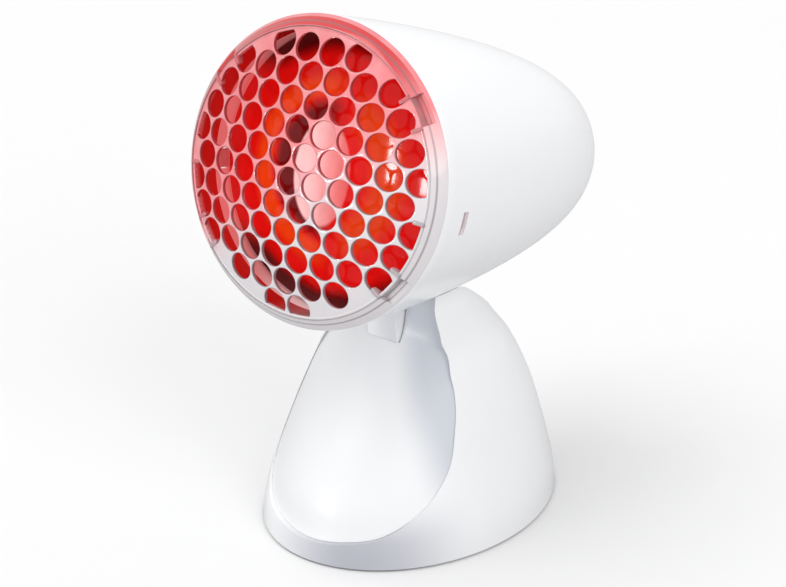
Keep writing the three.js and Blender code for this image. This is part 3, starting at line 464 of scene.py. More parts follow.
class Nodes:
    """A material's node tree, with short ways to add nodes to it."""

    def __init__(self, name, **values):
        self.material = bpy.data.materials.new(name)
        self.material.use_nodes = True
        self.tree = self.material.node_tree
        self.shader = self.tree.nodes["Principled BSDF"]
        for label, value in values.items():
            self.shader.inputs[label.replace("_", " ")].default_value = value
        self.coords = self.tree.nodes.new("ShaderNodeTexCoord").outputs["Object"]

    def add(self, kind, inputs=None, **settings):
        """A node with its settings and its inputs, which are values or other nodes' outputs."""
        node = self.tree.nodes.new("ShaderNode" + kind)
        for label, value in settings.items():
            setattr(node, label, value)
        for label, value in (inputs or {}).items():
            if isinstance(value, bpy.types.NodeSocket):
                self.tree.links.new(value, node.inputs[label])
            else:
                node.inputs[label].default_value = value
        return node

    def feed(self, label, source):
        """Links a node's output to one of the shader's inputs."""
        self.tree.links.new(source, self.shader.inputs[label])

    def math(self, operation, first, second=0.0):
        return self.add("Math", {0: first, 1: second}, operation=operation).outputs[0]

    def plus(self, first, second):
        return self.math("ADD", first, second)

    def times(self, product, *others):
        for other in others:
            product = self.math("MULTIPLY", product, other)
        return product

    def hypot(self, first, second):
        """The length of a line with these two parts at right angles."""
        return self.math("SQRT", self.plus(self.times(first, first), self.times(second, second)))

    def within(self, value, start, end):
        """Rises smoothly from 0 to 1 as the value goes from start to end."""
        rising = start < end
        return self.add("MapRange", {
            "Value": value, "From Min": min(start, end), "From Max": max(start, end),
            "To Min": 0.0 if rising else 1.0, "To Max": 1.0 if rising else 0.0,
        }, interpolation_type="SMOOTHSTEP").outputs["Result"]

    def mix(self, factor, first, second):
        """Goes from the first colour to the second as the factor goes from 0 to 1."""
        ends = [value if isinstance(value, bpy.types.NodeSocket) else (*value[:3], 1.0)
                for value in (first, second)]
        node = self.add("Mix", {"Factor": factor, "A": ends[0], "B": ends[1]}, data_type="RGBA")
        return node.outputs["Result"]

    def noise(self, scale, detail=2.0, roughness=0.5):
        return self.add("TexNoise", {
            "Vector": self.coords, "Scale": scale, "Detail": detail, "Roughness": roughness,
        }).outputs["Fac"]

    def bump(self, height, distance, strength):
        node = self.add("Bump", {"Height": height, "Distance": distance, "Strength": strength})
        self.feed("Normal", node.outputs["Normal"])

    def parts(self, coords):
        """The X, Y and Z of coordinates."""
        return self.add("SeparateXYZ", {"Vector": coords}).outputs

    def head_coords(self):
        """Object coordinates turned into the head's own frame."""
        node = self.add("Mapping", {
            "Vector": self.coords, "Location": RIM, "Rotation": (-TILT, 0, 0),
        }, vector_type="TEXTURE")
        return self.parts(node.outputs["Vector"])


def tinted(value, factor):
    """The same colour, lighter or darker."""
    return tuple(min(part * factor, 1.0) for part in value[:3])


# White plastic: noises as scale, detail and roughness, and how much they change
FLOW_NOISE = (14.0, 3.0, 0.5)
FLOW_STEPS = (0.3, 0.7)
FLOW_TINTS = (0.996, 1.004)
RUBBED_NOISE = (60.0, 4.0, 0.5)
RUBBED_SPREAD = 0.03
SPARK_DETAIL = (2.0, 0.6)
SPARK_BUMP = (0.02 * MM, 0.12)
PLASTIC_IOR = 1.5
GLOSS = {"roughness": 0.26, "grain": 900.0, "Coat_Weight": 0.25, "Coat_Roughness": 0.12}
SATIN = {"roughness": 0.34, "grain": 1200.0, "Coat_Weight": 0.15, "Coat_Roughness": 0.2}
PLAIN = {"roughness": 0.3, "grain": 900.0}


def moulded(name, base, roughness, grain, **values):
    """Moulded plastic: an even colour with faint flow marks and a fine sparked surface."""
    nodes = Nodes(name, Roughness=roughness, IOR=PLASTIC_IOR, **values)
    cloud = nodes.within(nodes.noise(*FLOW_NOISE), *FLOW_STEPS)
    nodes.colour = nodes.mix(cloud, *(tinted(base, tint) for tint in FLOW_TINTS))
    nodes.feed("Base Color", nodes.colour)
    spread = nodes.times(nodes.noise(*RUBBED_NOISE), RUBBED_SPREAD)
    nodes.feed("Roughness", nodes.plus(spread, roughness - RUBBED_SPREAD / 2))
    nodes.bump(nodes.noise(grain, *SPARK_DETAIL), *SPARK_BUMP)
    return nodes


# The painted red reflection and painted glow on the housing's mouth, in the head's frame: each span from where a
# change starts to where it ends
HOUSING_TINT = 1.06
MOUTH_TAPER = 0.067
MOUTH_WALL = mm(64, 63.4)
MOUTH_START = mm(0.2, 2)
MOUTH_END = mm(45, 30)
MOUTH_LEFT = mm(-5, -40)
MOUTH_RIGHT = mm(30, 50)
MOUTH_PAINTED_GLOW = 0.3


def gloss_white():
    """Gloss white housing plastic, with the bulb's red painted inside the mouth as a painted reflection and a
    painted glow.
    """
    colours = bpy.context.scene.heat_lamp_colours
    nodes = moulded("gloss_white", tinted(colours.white, HOUSING_TINT), **GLOSS)
    x, y, z = nodes.head_coords()
    wall = nodes.plus(nodes.hypot(x, z), nodes.times(y, MOUTH_TAPER))
    inside = nodes.times(nodes.within(wall, *MOUTH_WALL), nodes.within(y, *MOUTH_END),
                         nodes.within(y, *MOUTH_START))
    painted_glow = nodes.mix(nodes.within(x, *MOUTH_LEFT), colours.mouth_reflection_pale, colours.mouth_reflection_red)
    painted_glow = nodes.mix(nodes.within(x, *MOUTH_RIGHT), painted_glow, colours.mouth_reflection_grey)
    nodes.feed("Base Color", nodes.mix(inside, nodes.colour, painted_glow))
    # Painted glow: the mouth's white wall glows with the painted red, though the housing is no lamp
    nodes.feed("Emission Color", painted_glow)
    nodes.feed("Emission Strength", nodes.times(inside, MOUTH_PAINTED_GLOW))
    return nodes.material


# The shades on the stand and the neck, each span from where it starts to where it is full
PANEL_SLANT = 0.6
PANEL_SHADE = mm(58, 74)
PANEL_DEPTH = 0.9
FOOT_LEFT = mm(-30, 20)
FOOT_BACK = mm(-28, -80)
FOOT_TOP = mm(36, 12)
NECK_LEFT = mm(-8, 6)
NECK_SIDE = mm(8, 7.7)
NECK_DEPTH = 0.55


def shaded(nodes, shade, *masks):
    """A moulding's material, with its shade where all the masks are."""
    nodes.feed("Base Color", nodes.mix(nodes.times(*masks), nodes.colour, shade))
    return nodes.material


def panel_white():
    """Satin white of the front panel, which the cheek shades at the right."""
    colours = bpy.context.scene.heat_lamp_colours
    nodes = moulded("panel_white", colours.panel, **SATIN)
    x, _, z = nodes.parts(nodes.coords)
    side = nodes.plus(x, nodes.times(z, PANEL_SLANT))
    return shaded(nodes, colours.shade, nodes.within(side, *PANEL_SHADE), PANEL_DEPTH)


def stand_white():
    """Gloss white of the stand, which falls into shade below the front panel."""
    colours = bpy.context.scene.heat_lamp_colours
    nodes = moulded("stand_white", colours.white, **GLOSS)
    x, y, z = nodes.parts(nodes.coords)
    return shaded(nodes, colours.under, nodes.within(x, *FOOT_LEFT), nodes.within(y, *FOOT_BACK),
                  nodes.within(z, *FOOT_TOP))


def neck_white():
    """White of the neck, which the head shades from above."""
    colours = bpy.context.scene.heat_lamp_colours
    nodes = moulded("neck_white", colours.white, **PLAIN)
    x, _, _ = nodes.parts(nodes.coords)
    return shaded(nodes, colours.shade, nodes.within(x, *NECK_LEFT), nodes.within(x, *NECK_SIDE),
                  NECK_DEPTH)


# The clear grille, with the bulb's red and the housing's grey painted on as painted light: the slant runs to the
# lower right, and radii are from the lamp's axis
WEB_GLASS = {"Roughness": 0.12, "IOR": 1.55, "Transmission_Weight": 0.15, "Coat_Weight": 0.4,
             "Coat_Roughness": 0.05}
SLANT = (0.5, -0.85)
# Painted light across the web: grey toward the lower right over the housing, deeper red toward the upper left
WEB_PAINTED_GREY = mm(-8, 24)
WEB_PAINTED_DEEP = mm(-5, -45)
WEB_TINT = 0.88
CLOUD_NOISE = (120.0, 3.0)
CLOUD_STEPS = (0.35, 0.7)
CLOUD_DEPTH = 0.15
BAND_EDGE = 0.3 * MM
# Where the painted red light lies in the lip, toward the upper left
LIP_BAND = mm(60.2, 63.6)
LIP_SIDE = mm(0, -35)
# Painted shade in the groove and along the lip's inner edge, between these radii
GROOVE_BAND = mm(59.6, 60.1)
EDGE_BAND = mm(61.6, 62.2)
LINE_SHADE_DEPTH = 0.6
# Where the clear skirt shows the painted red light, more at the left
SKIRT_START = mm(-3, -1)
SKIRT_END = mm(9.6, 9.2)
SKIRT_WALL = mm(60.4, 59.8)
SKIRT_SIDE = mm(20, -15)
# Vertex layer that weights the painted shade on the holes' walls and the ribs
WALL = "wall"
WALL_SHADE_DEPTH = 0.85
WEB_GRAIN = 260.0
WEB_BUMP = (0.05 * MM, 0.3)


def clear_web():
    """Clear moulded polycarbonate, with painted light: the red of the bulb behind it and the grey of the housing
    painted on, and painted shade in the groove and on the holes' walls.
    """
    colours = bpy.context.scene.heat_lamp_colours
    nodes = Nodes("clear_web", **WEB_GLASS)
    x, y, z = nodes.head_coords()
    radius = nodes.hypot(x, z)
    slant = nodes.plus(nodes.times(x, SLANT[0]), nodes.times(z, SLANT[1]))

    def band(start, end):
        """A line round the ring between two radii."""
        return nodes.times(nodes.within(radius, start, start + BAND_EDGE),
                           nodes.within(radius, end + BAND_EDGE, end))

    # Painted light: the bulb's red and the housing's grey seen through the clear web
    grey = nodes.within(slant, *WEB_PAINTED_GREY)
    base = nodes.mix(nodes.within(slant, *WEB_PAINTED_DEEP), colours.web, tinted(colours.web, WEB_TINT))
    base = nodes.mix(grey, base, colours.web_painted_grey)
    cloud = nodes.within(nodes.noise(*CLOUD_NOISE), *CLOUD_STEPS)
    base = nodes.mix(nodes.times(cloud, CLOUD_DEPTH), base, colours.web_pale)
    # Painted red light in the lip
    red = nodes.times(band(*LIP_BAND), nodes.within(slant, *LIP_SIDE))
    base = nodes.mix(red, base, colours.lip)
    # Painted shade in the groove and along the lip's inner edge
    painted_shade_lines = nodes.math("MAXIMUM", band(*GROOVE_BAND), band(*EDGE_BAND))
    base = nodes.mix(nodes.times(painted_shade_lines, LINE_SHADE_DEPTH), base, colours.line)
    # Painted red light in the skirt inside the mouth
    skirt = nodes.times(nodes.within(y, *SKIRT_START), nodes.within(radius, *SKIRT_WALL),
                        nodes.within(y, *SKIRT_END), nodes.within(x, *SKIRT_SIDE))
    base = nodes.mix(skirt, base, colours.skirt)
    # Painted shade on the holes' walls and the ribs, weighted by the vertex layer
    wall = nodes.times(nodes.add("Attribute", attribute_name=WALL).outputs["Fac"], WALL_SHADE_DEPTH)
    edge = nodes.mix(grey, colours.wall_red_shade, colours.wall_grey_shade)
    nodes.feed("Base Color", nodes.mix(wall, base, edge))
    nodes.bump(nodes.noise(WEB_GRAIN), *WEB_BUMP)
    return nodes.material


# The ruby glass's painted reflections, painted highlight and painted shadow: radii from the lamp's axis where each
# ring fades in and out, and its sides
# Emission Strength gives the ruby glass a painted glow
RUBY_GLASS = {"Roughness": 0.06, "IOR": 1.5, "Specular_IOR_Level": 0.24, "Emission_Strength": 0.2}
WAVE_SCALE = 28.0
WAVE_REACH = 5 * MM
LEFT_SIDE = mm(6, -8)
# Painted reflections: the dark ring and the bright and warm rings of the mirror
DARK_IN, DARK_OUT = mm(11, 15), mm(33, 26)
BRIGHT_IN, BRIGHT_OUT = mm(30, 34), mm(44, 37)
WARM_IN, WARM_OUT = mm(16, 24), mm(40, 30)
WARM_SIDE = mm(4, 14)
WARM_TINT = 0.9
# Painted shadow at the top and bottom of the lens, near its rim
RIM_DARK = mm(47, 55)
POLES = mm(30, 44)
POLE_SHADOW_TINT = 0.5
# Painted highlight on the crown: its middle, half sizes, edge, fade and palest side
CROWN_PLACE = mm(-4.5, -2)
CROWN_HALF = mm(14.5, 23)
CROWN_EDGE = (1.05, 0.86)
CROWN_FADE = mm(13, -9)
CROWN_LEAST = 0.2
CROWN_PALE = mm(0, -14)
RUBY_NOISE = (200.0, 1.0)
RUBY_BUMP = (0.02 * MM, 0.1)


def ruby_glass():
    """Ruby stained glass before a mirror, with painted reflections of the mirror as bright and dark rings about a
    painted highlight on the crown, a painted shadow at the poles and a painted glow.
    """
    colours = bpy.context.scene.heat_lamp_colours
    nodes = Nodes("ruby_glass", **RUBY_GLASS)
    x, _, z = nodes.head_coords()
    wave = nodes.times(nodes.math("SUBTRACT", nodes.noise(WAVE_SCALE), 0.5), WAVE_REACH)
    reach = nodes.plus(nodes.hypot(x, z), wave)

    def ring(fade_in, fade_out, side):
        """A ring that fades in and out, on one side of the lens."""
        return nodes.times(nodes.within(reach, *fade_in), nodes.within(reach, *fade_out),
                           nodes.within(x, *side))

    # Painted reflections of the mirror and the dark surroundings
    face = nodes.mix(ring(DARK_IN, DARK_OUT, LEFT_SIDE), colours.ruby, colours.maroon_painted_dark)
    face = nodes.mix(ring(BRIGHT_IN, BRIGHT_OUT, LEFT_SIDE), face, colours.orange_painted_reflection)
    warm_reflection = tinted(colours.orange_painted_reflection, WARM_TINT)
    face = nodes.mix(ring(WARM_IN, WARM_OUT, WARM_SIDE), face, warm_reflection)
    # Painted shadow at the top and bottom of the lens, in the dark gap by the housing
    painted_pole_shadow = nodes.times(nodes.within(nodes.math("ABSOLUTE", z), *POLES),
                        nodes.within(reach, *RIM_DARK))
    face = nodes.mix(painted_pole_shadow, face, tinted(colours.maroon_painted_dark, POLE_SHADOW_TINT))
    # Painted highlight: a pale crown left of the middle, palest at its left
    shares = [nodes.math("DIVIDE", nodes.math("SUBTRACT", value, middle), half)
              for value, middle, half in zip((x, z), CROWN_PLACE, CROWN_HALF)]
    away = nodes.plus(*(nodes.times(share, share) for share in shares))
    fade = nodes.times(nodes.within(x, *CROWN_FADE), 1 - CROWN_LEAST)
    pale = nodes.times(nodes.within(away, *CROWN_EDGE), nodes.plus(fade, CROWN_LEAST))
    crown = nodes.mix(nodes.within(x, *CROWN_PALE), colours.blush_painted_highlight, colours.crown)
    face = nodes.mix(pale, face, crown)
    nodes.feed("Base Color", face)
    # Painted glow: the glass glows in its painted colours
    nodes.feed("Emission Color", face)
    nodes.bump(nodes.noise(*RUBY_NOISE), *RUBY_BUMP)
    return nodes.material


# Metals: colour and roughness
METALS = {
    "brass": ((0.72, 0.5, 0.2), 0.3),
    "steel": ((0.56, 0.57, 0.58), 0.35),
    "tungsten": ((0.25, 0.25, 0.27), 0.45),
}
DRAWN_NOISE = (300.0, 4.0, 0.65)
DRAWN_TINTS = (0.85, 1.1)
DRAWN_SPREAD = 0.2
DRAWN_BUMP = (0.02 * MM, 0.3)


def metal(name, base, roughness):
    """Bright metal with fine drawn streaks."""
    nodes = Nodes(name, Metallic=1.0)
    streaks = nodes.noise(*DRAWN_NOISE)
    nodes.feed("Base Color", nodes.mix(streaks, *(tinted(base, tint) for tint in DRAWN_TINTS)))
    spread = nodes.times(streaks, DRAWN_SPREAD)
    nodes.feed("Roughness", nodes.plus(spread, roughness - DRAWN_SPREAD / 2))
    nodes.bump(streaks, *DRAWN_BUMP)
    return nodes.material


# Glass, ceramic, rubber and nylon: colour, roughness, grain, depth of the grain and what else
DULLS = {
    "silvered_glass": ((0.42, 0.02, 0.018), 0.18, 80.0, 0.02 * MM, {"Coat_Weight": 0.6}),
    "clear_glass": ((0.75, 0.77, 0.77), 0.1, 60.0, 0.01 * MM, {"Transmission_Weight": 0.7}),
    "porcelain": ((0.86, 0.83, 0.76), 0.22, 90.0, 0.05 * MM, {"Coat_Weight": 0.5}),
    "black_glass": ((0.02, 0.02, 0.024), 0.15, 200.0, 0.02 * MM, {}),
    "rubber": ((0.03, 0.03, 0.033), 0.75, 700.0, 0.05 * MM, {}),
    "natural_nylon": ((0.75, 0.74, 0.7), 0.45, 250.0, 0.04 * MM, {"Subsurface_Weight": 0.1}),
}
DULL_TINTS = (0.9, 1.08)
DULL_DETAIL = (4.0, 0.6)
DULL_STRENGTH = 0.4


def dull(name, base, roughness, grain, depth, values):
    """Glass, ceramic, rubber or nylon with a fine surface."""
    nodes = Nodes(name, Roughness=roughness, **values)
    spots = nodes.noise(grain, *DULL_DETAIL)
    nodes.feed("Base Color", nodes.mix(spots, *(tinted(base, tint) for tint in DULL_TINTS)))
    nodes.bump(spots, depth, DULL_STRENGTH)
    return nodes.material


SPECIALS = {made.__name__: made for made in (gloss_white, panel_white, neck_white, stand_white,
                                             clear_web, ruby_glass)}
MADE = {}


def finish_of(slot):
    """The material of a slot, made once."""
    if slot not in MADE:
        if slot in METALS:
            MADE[slot] = metal(slot, *METALS[slot])
        elif slot in DULLS:
            MADE[slot] = dull(slot, *DULLS[slot])
        else:
            MADE[slot] = SPECIALS[slot]()
    return MADE[slot]


# Shapes of the head

def bullet_curve(sizes, offset, steps):
    """The housing's side as (radius, behind) points from the mouth to the tail."""
    points = []
    for i in range(steps + 1):
        turn = TURN / 4 * i / steps
        along = 1.0 if i == steps else (1 - math.cos(turn) ** (1 / END_POWER)) ** (1 / SIDE_POWER)
        share = 0.0 if i == steps else math.cos(turn) * (1 - TAPER_SHARE * along)
        points.append(((sizes.rim_radius + offset) * share, (sizes.housing_length + offset) * along))
    return points


def bullet(sizes, offset, steps, turns, mouth):
    """The full bullet, with its mouth carried forward so that it cuts cleanly."""
    curve = bullet_curve(sizes, offset, steps)
    return spun([(0, -mouth), (curve[0][0], -mouth), *curve], turns, closed=False)


def turned_to(bm, angle):
    """A piece drawn along +X, turned to its angle round the lamp's axis."""
    bm.transform(Matrix.Rotation(math.radians(angle), 4, "Y"))
    return bm


class HEATLAMP_OT_housing(bpy.types.Operator):
    """Turn the housing and cut its slots and vents"""

    bl_idname = "heat_lamp.housing"
    bl_label = "Housing"

    def execute(self, context):
        sizes = context.scene.heat_lamp_head
        outer = bullet_curve(sizes, 0, OUTER_STEPS)
        inner = bullet_curve(sizes, -sizes.wall, INNER_STEPS)
        reach, wall, r = sizes.rim_radius, sizes.wall, sizes.rim_round
        lip = [*arc((reach - wall + r, r), r, 180, 270, RIM_STEPS),
               *arc((reach - r, r), r, 270, 360, RIM_STEPS)]
        profile = [*reversed(inner[1:]), *lip, *outer[1:]]
        shell = mesh_piece("housing_shell", spun(profile, HOUSING_TURNS, closed=False))
        half_width, half_length = sizes.slot_width / 2, sizes.slot_length / 2
        for angle in HOOK_ANGLES:
            slot = block((reach - SLOT_WALLS * wall, sizes.slot_behind - half_width, -half_length),
                         (reach + wall, sizes.slot_behind + half_width, half_length))
            carve(shell, turned_to(slot, angle))
        half_vent, tail, top = sizes.vent_width / 2, sizes.housing_length, -sizes.vent_drop
        for i in range(sizes.vents):
            x = (i - (sizes.vents - 1) / 2) * sizes.vent_pitch
            carve(shell, block((x - half_vent, tail - sizes.vent_length, top - sizes.vent_length),
                               (x + half_vent, tail + BEYOND, top)))
        shell.data.transform(HEAD)
        soften(shell, SOFT, HOUSING_SOFT_STEPS)
        dress(shell, "head", finish_of("gloss_white"), ["head_housing"])
        return {"FINISHED"}


class HEATLAMP_OT_neck(bpy.types.Operator):
    """Model the neck lug that turns in the stand, with its front tongue"""

    bl_idname = "heat_lamp.neck"
    bl_label = "Neck"

    def execute(self, context):
        sizes = context.scene.heat_lamp_head
        up, back, radius = PIVOT.z, PIVOT.y - RIM.y, sizes.lug_radius
        top = up + radius + sizes.lug_top
        heel = back + sizes.heel
        lug = side_plate([
            (back - radius + sizes.lug_lean, top),
            *arc((back, up), radius, 180, 270, LUG_STEPS),
            (heel, up - radius + sizes.heel_rise), (heel + sizes.heel_lean, top),
        ], sizes.lug_width)
        front, foot, over = sizes.tongue_front, sizes.tongue_foot, top + sizes.tongue_top
        tongue = side_plate([
            (front - sizes.tongue_lean, over), (front, foot), (front + sizes.tongue_lip, foot),
            (back - radius + sizes.tongue_root, up - sizes.tongue_drop),
            (back - sizes.tongue_back, over),
        ], sizes.tongue_width)
        place = HEAD.inverted() @ STAND
        piece = mesh_piece("neck_lug", lug, place)
        tongue.transform(place)
        carve(piece, tongue, "UNION")
        carve(piece, bullet(sizes, -sizes.wall, INNER_STEPS, HOLLOW_TURNS, BEYOND))
        piece.data.transform(HEAD)
        soften(piece, NECK_SOFT)
        dress(piece, "head", finish_of("neck_white"))
        return {"FINISHED"}


# Shapes of the grille: points round a cell, shares of its sizes, and the ring's groove and lip
CELL_POINTS = 36
ROUND_SHARE = 0.3
PLAIN_SHARE = 0.2
CUT_SHARE = 0.3
KEEP_SHARE = 0.6
EDGE_PLAY = 1.01
GROOVE_DEPTHS = mm(0.1, 0.7, 1.0, 0.7, 0.12)
LIP_START = 0.35 * MM
LIP_POWER = 1.85
LIP_STEPS = 14

# A rib: shares of its height at its bends, the angle of the edges that are rounded, and its shade
RIB_NOSE = 0.8
RIB_BEND = 0.6
RIB_ANGLE = math.radians(50)
RIB_STEPS = 2
RIB_SHADE = 0.6


def dome_height(sizes, radius):
    """How far the grille's face stands before the rim at that radius."""
    return sizes.edge_rise + sizes.dome_rise * (1 - (radius / sizes.radius) ** 2)


def grille_cell(sizes, holed):
    """One cell of the web, flat, face up: a hexagon, plain or about a hole with soft edges."""
    bm = bmesh.new()
    hexagon = sizes.pitch / math.sqrt(3)
    soft, hole, web = sizes.edge_round, sizes.hole_radius, sizes.web
    turn = ROUND_SHARE * soft

    def circle_at(radius, depth, points=CELL_POINTS):
        made = bmesh.ops.create_circle(bm, cap_ends=False, segments=points, radius=radius,
                                       matrix=Matrix.Translation((0, 0, -depth)))
        return list({edge for vert in made["verts"] for edge in vert.link_edges})

    def hexagon_at(depth):
        edges = circle_at(hexagon, depth, 6)
        cut = bmesh.ops.subdivide_edges(bm, edges=edges, cuts=CELL_POINTS // 6 - 1)
        found = {item for item in cut["geom"] if isinstance(item, bmesh.types.BMEdge)}
        return [edge for edge in found | set(edges) if edge.is_valid]

    if holed:
        rings = [(hole + soft, 0), (hole + turn, turn), (hole, soft), (hole, web - soft),
                 (hole + turn, web - turn), (hole + soft, web)]
        loops = [hexagon_at(0), *(circle_at(*ring) for ring in rings), hexagon_at(web)]
        for first, second in zip(loops, loops[1:]):
            bmesh.ops.bridge_loops(bm, edges=first + second)
        return bm
    for depth in (0, web):
        outer = hexagon_at(depth)
        inner = circle_at(PLAIN_SHARE * hexagon, depth)
        bmesh.ops.bridge_loops(bm, edges=outer + inner)
        bmesh.ops.contextual_create(bm, geom=inner)
    return bm


def grille_web(sizes):
    """The whole domed web from its cells, facing -Y."""
    row_pitch = sizes.pitch * math.sqrt(3) / 2
    outer = sizes.ring_inner + sizes.ring_flat
    hole, soft = sizes.hole_radius, sizes.edge_round
    rows = math.ceil(outer / row_pitch) + 1
    whole = bmesh.new()
    wall = whole.verts.layers.float.new(WALL)
    for holed in (True, False):
        cell = grille_cell(sizes, holed)
        mesh = bpy.data.meshes.new("cell")
        cell.to_mesh(mesh)
        cell.free()
        for row in range(-rows, rows + 1):
            for i in range(-rows, rows + 1):
                x = (i + 0.5 * (row % 2)) * sizes.pitch
                y = row * row_pitch - sizes.drop
                away = math.hypot(x, y)
                inside = away < sizes.ring_inner - CUT_SHARE * hole
                if inside != holed or away > outer + KEEP_SHARE * sizes.pitch:
                    continue
                start = len(whole.verts)
                whole.from_mesh(mesh)
                whole.verts.ensure_lookup_table()
                for vert in whole.verts[start:]:
                    near = math.hypot(vert.co.x, vert.co.y)
                    # The hole's wall gets the weight of its painted shade, full on the wall and fading over the
                    # rounding
                    if holed:
                        vert[wall] = min(max((hole + soft - near) / soft, 0), 1)
                    vert.co.x += x
                    vert.co.y += y
                    limit = outer
                    if holed and near < hole + EDGE_PLAY * soft:
                        limit = sizes.ring_inner + near - hole
                    far = math.hypot(vert.co.x, vert.co.y)
                    if far > limit:
                        vert.co.x *= limit / far
                        vert.co.y *= limit / far
        bpy.data.meshes.remove(mesh)
    bmesh.ops.remove_doubles(whole, verts=whole.verts, dist=WEB_WELD)
    bmesh.ops.dissolve_degenerate(whole, edges=whole.edges, dist=WEB_WELD / 2)
    for vert in whole.verts:
        far = math.hypot(vert.co.x, vert.co.y)
        vert.co = (vert.co.x, -dome_height(sizes, far) - vert.co.z, vert.co.y)
    bmesh.ops.recalc_face_normals(whole, faces=whole.faces)
    return whole


def grille_ring(sizes):
    """The ring with its groove, the rounded lip before the housing's edge, and the skirt."""
    face = dome_height(sizes, sizes.ring_inner)
    soft, gap = sizes.edge_round, sizes.lip_gap
    start = sizes.ring_inner + sizes.ring_flat
    width = sizes.lip_radius - start - LIP_START
    lip = []
    for i in range(LIP_STEPS + 1):
        turn = TURN / 4 * i / LIP_STEPS
        out, up = math.sin(turn) ** LIP_POWER, math.cos(turn) ** LIP_POWER
        lip.append((start + LIP_START + width * out, -gap - (face - gap) * up))
    groove_start = start - sizes.groove_place
    step = sizes.groove_width / (len(GROOVE_DEPTHS) - 1)
    inner, back, seat = sizes.radius - sizes.web, sizes.web - face, sizes.lip_seat - gap
    return spun([
        (sizes.ring_inner, back),
        *arc((sizes.ring_inner + soft, soft - face), soft, 180, 270, EDGE_STEPS),
        *((groove_start + step * i, depth - face) for i, depth in enumerate(GROOVE_DEPTHS)),
        *lip, (sizes.lip_radius - sizes.lip_edge, seat), (sizes.radius, seat),
        (sizes.radius, sizes.skirt - soft), (sizes.radius - soft, sizes.skirt),
        (inner, sizes.skirt), (inner, back),
    ], RING_TURNS)


def grille_rib(sizes):
    """A radial rib that runs over the ring and down the lip."""
    proud = sizes.rib_proud
    start = sizes.ring_inner - sizes.rib_in
    ring_edge = sizes.ring_inner + sizes.ring_flat
    end = start + sizes.rib_length
    low, face = -dome_height(sizes, start), -dome_height(sizes, sizes.ring_inner)
    foot = -sizes.lip_gap - sizes.tab_step / 2
    nose, shoulder, crest, bend = mm(0.35, 1, 0.6, 0.2)
    outline = [
        (start, sizes.web + low), (start, low), (start + nose, low - RIB_NOSE * proud),
        (start + shoulder, low - RIB_NOSE * proud), (ring_edge - crest, face - proud),
        (ring_edge + bend, face - RIB_BEND * proud), (end, face / 2 - proud), (end, foot),
        (sizes.radius - sizes.web, foot),
    ]
    rib = extruded([(along, behind, -sizes.rib / 2) for along, behind in outline], (0, 0, sizes.rib))
    sharp = [edge for edge in rib.edges if edge.calc_face_angle(0) > RIB_ANGLE]
    bmesh.ops.bevel(rib, geom=sharp, offset=sizes.rib_round, segments=RIB_STEPS, profile=0.5,
                    material=-1, affect="EDGES")
    wall = rib.verts.layers.float.new(WALL)
    for vert in rib.verts:
        vert[wall] = RIB_SHADE
    return rib


class HEATLAMP_OT_grille(bpy.types.Operator):
    """Model the domed grille with its ring, lip, tabs, ribs and hooks"""

    bl_idname = "heat_lamp.grille"
    bl_label = "Grille"

    def execute(self, context):
        sizes = context.scene.heat_lamp_grille
        ring = mesh_piece("grille_ring", grille_ring(sizes))
        start = sizes.ring_inner + sizes.ring_flat
        front = -dome_height(sizes, sizes.ring_inner) - BEYOND
        half = sizes.lip_radius * math.sin(sizes.tab_half_angle) - sizes.rib / 2
        tab_half = math.degrees(sizes.tab_half_angle)
        parts = [grille_web(sizes)]
        for angle in TAB_ANGLES:
            step = block((start, front, -half),
                         (sizes.lip_radius + BEYOND, -sizes.lip_gap - sizes.tab_step, half))
            carve(ring, turned_to(step, angle))
            for side in (-1, 1):
                parts.append(turned_to(grille_rib(sizes), angle + side * tab_half))
        outside, half_hook = sizes.hook_outer, sizes.hook_width / 2
        for angle in reversed(HOOK_ANGLES):
            parts.append(turned_to(grille_rib(sizes), angle))
            hook = block((outside - sizes.hook_thickness, sizes.skirt - sizes.hook_root, -half_hook),
                         (outside, sizes.hook_back, half_hook))
            parts.append(turned_to(hook, angle))
        whole = bmesh.new()
        whole.from_mesh(ring.data)
        bpy.data.objects.remove(ring)
        piece = mesh_piece("grille_cover", joined([*parts, whole]), HEAD)
        dress(piece, "grille", finish_of("clear_web"), ["grille"])
        return {"FINISHED"}


# Shapes of the bulb: the lens's share of its rise, its power, and the steps of its curves
LENS_SHARE = 0.6
LENS_POWER = 2.4
LENS_STEPS = 40
MIRROR_STEPS = 32


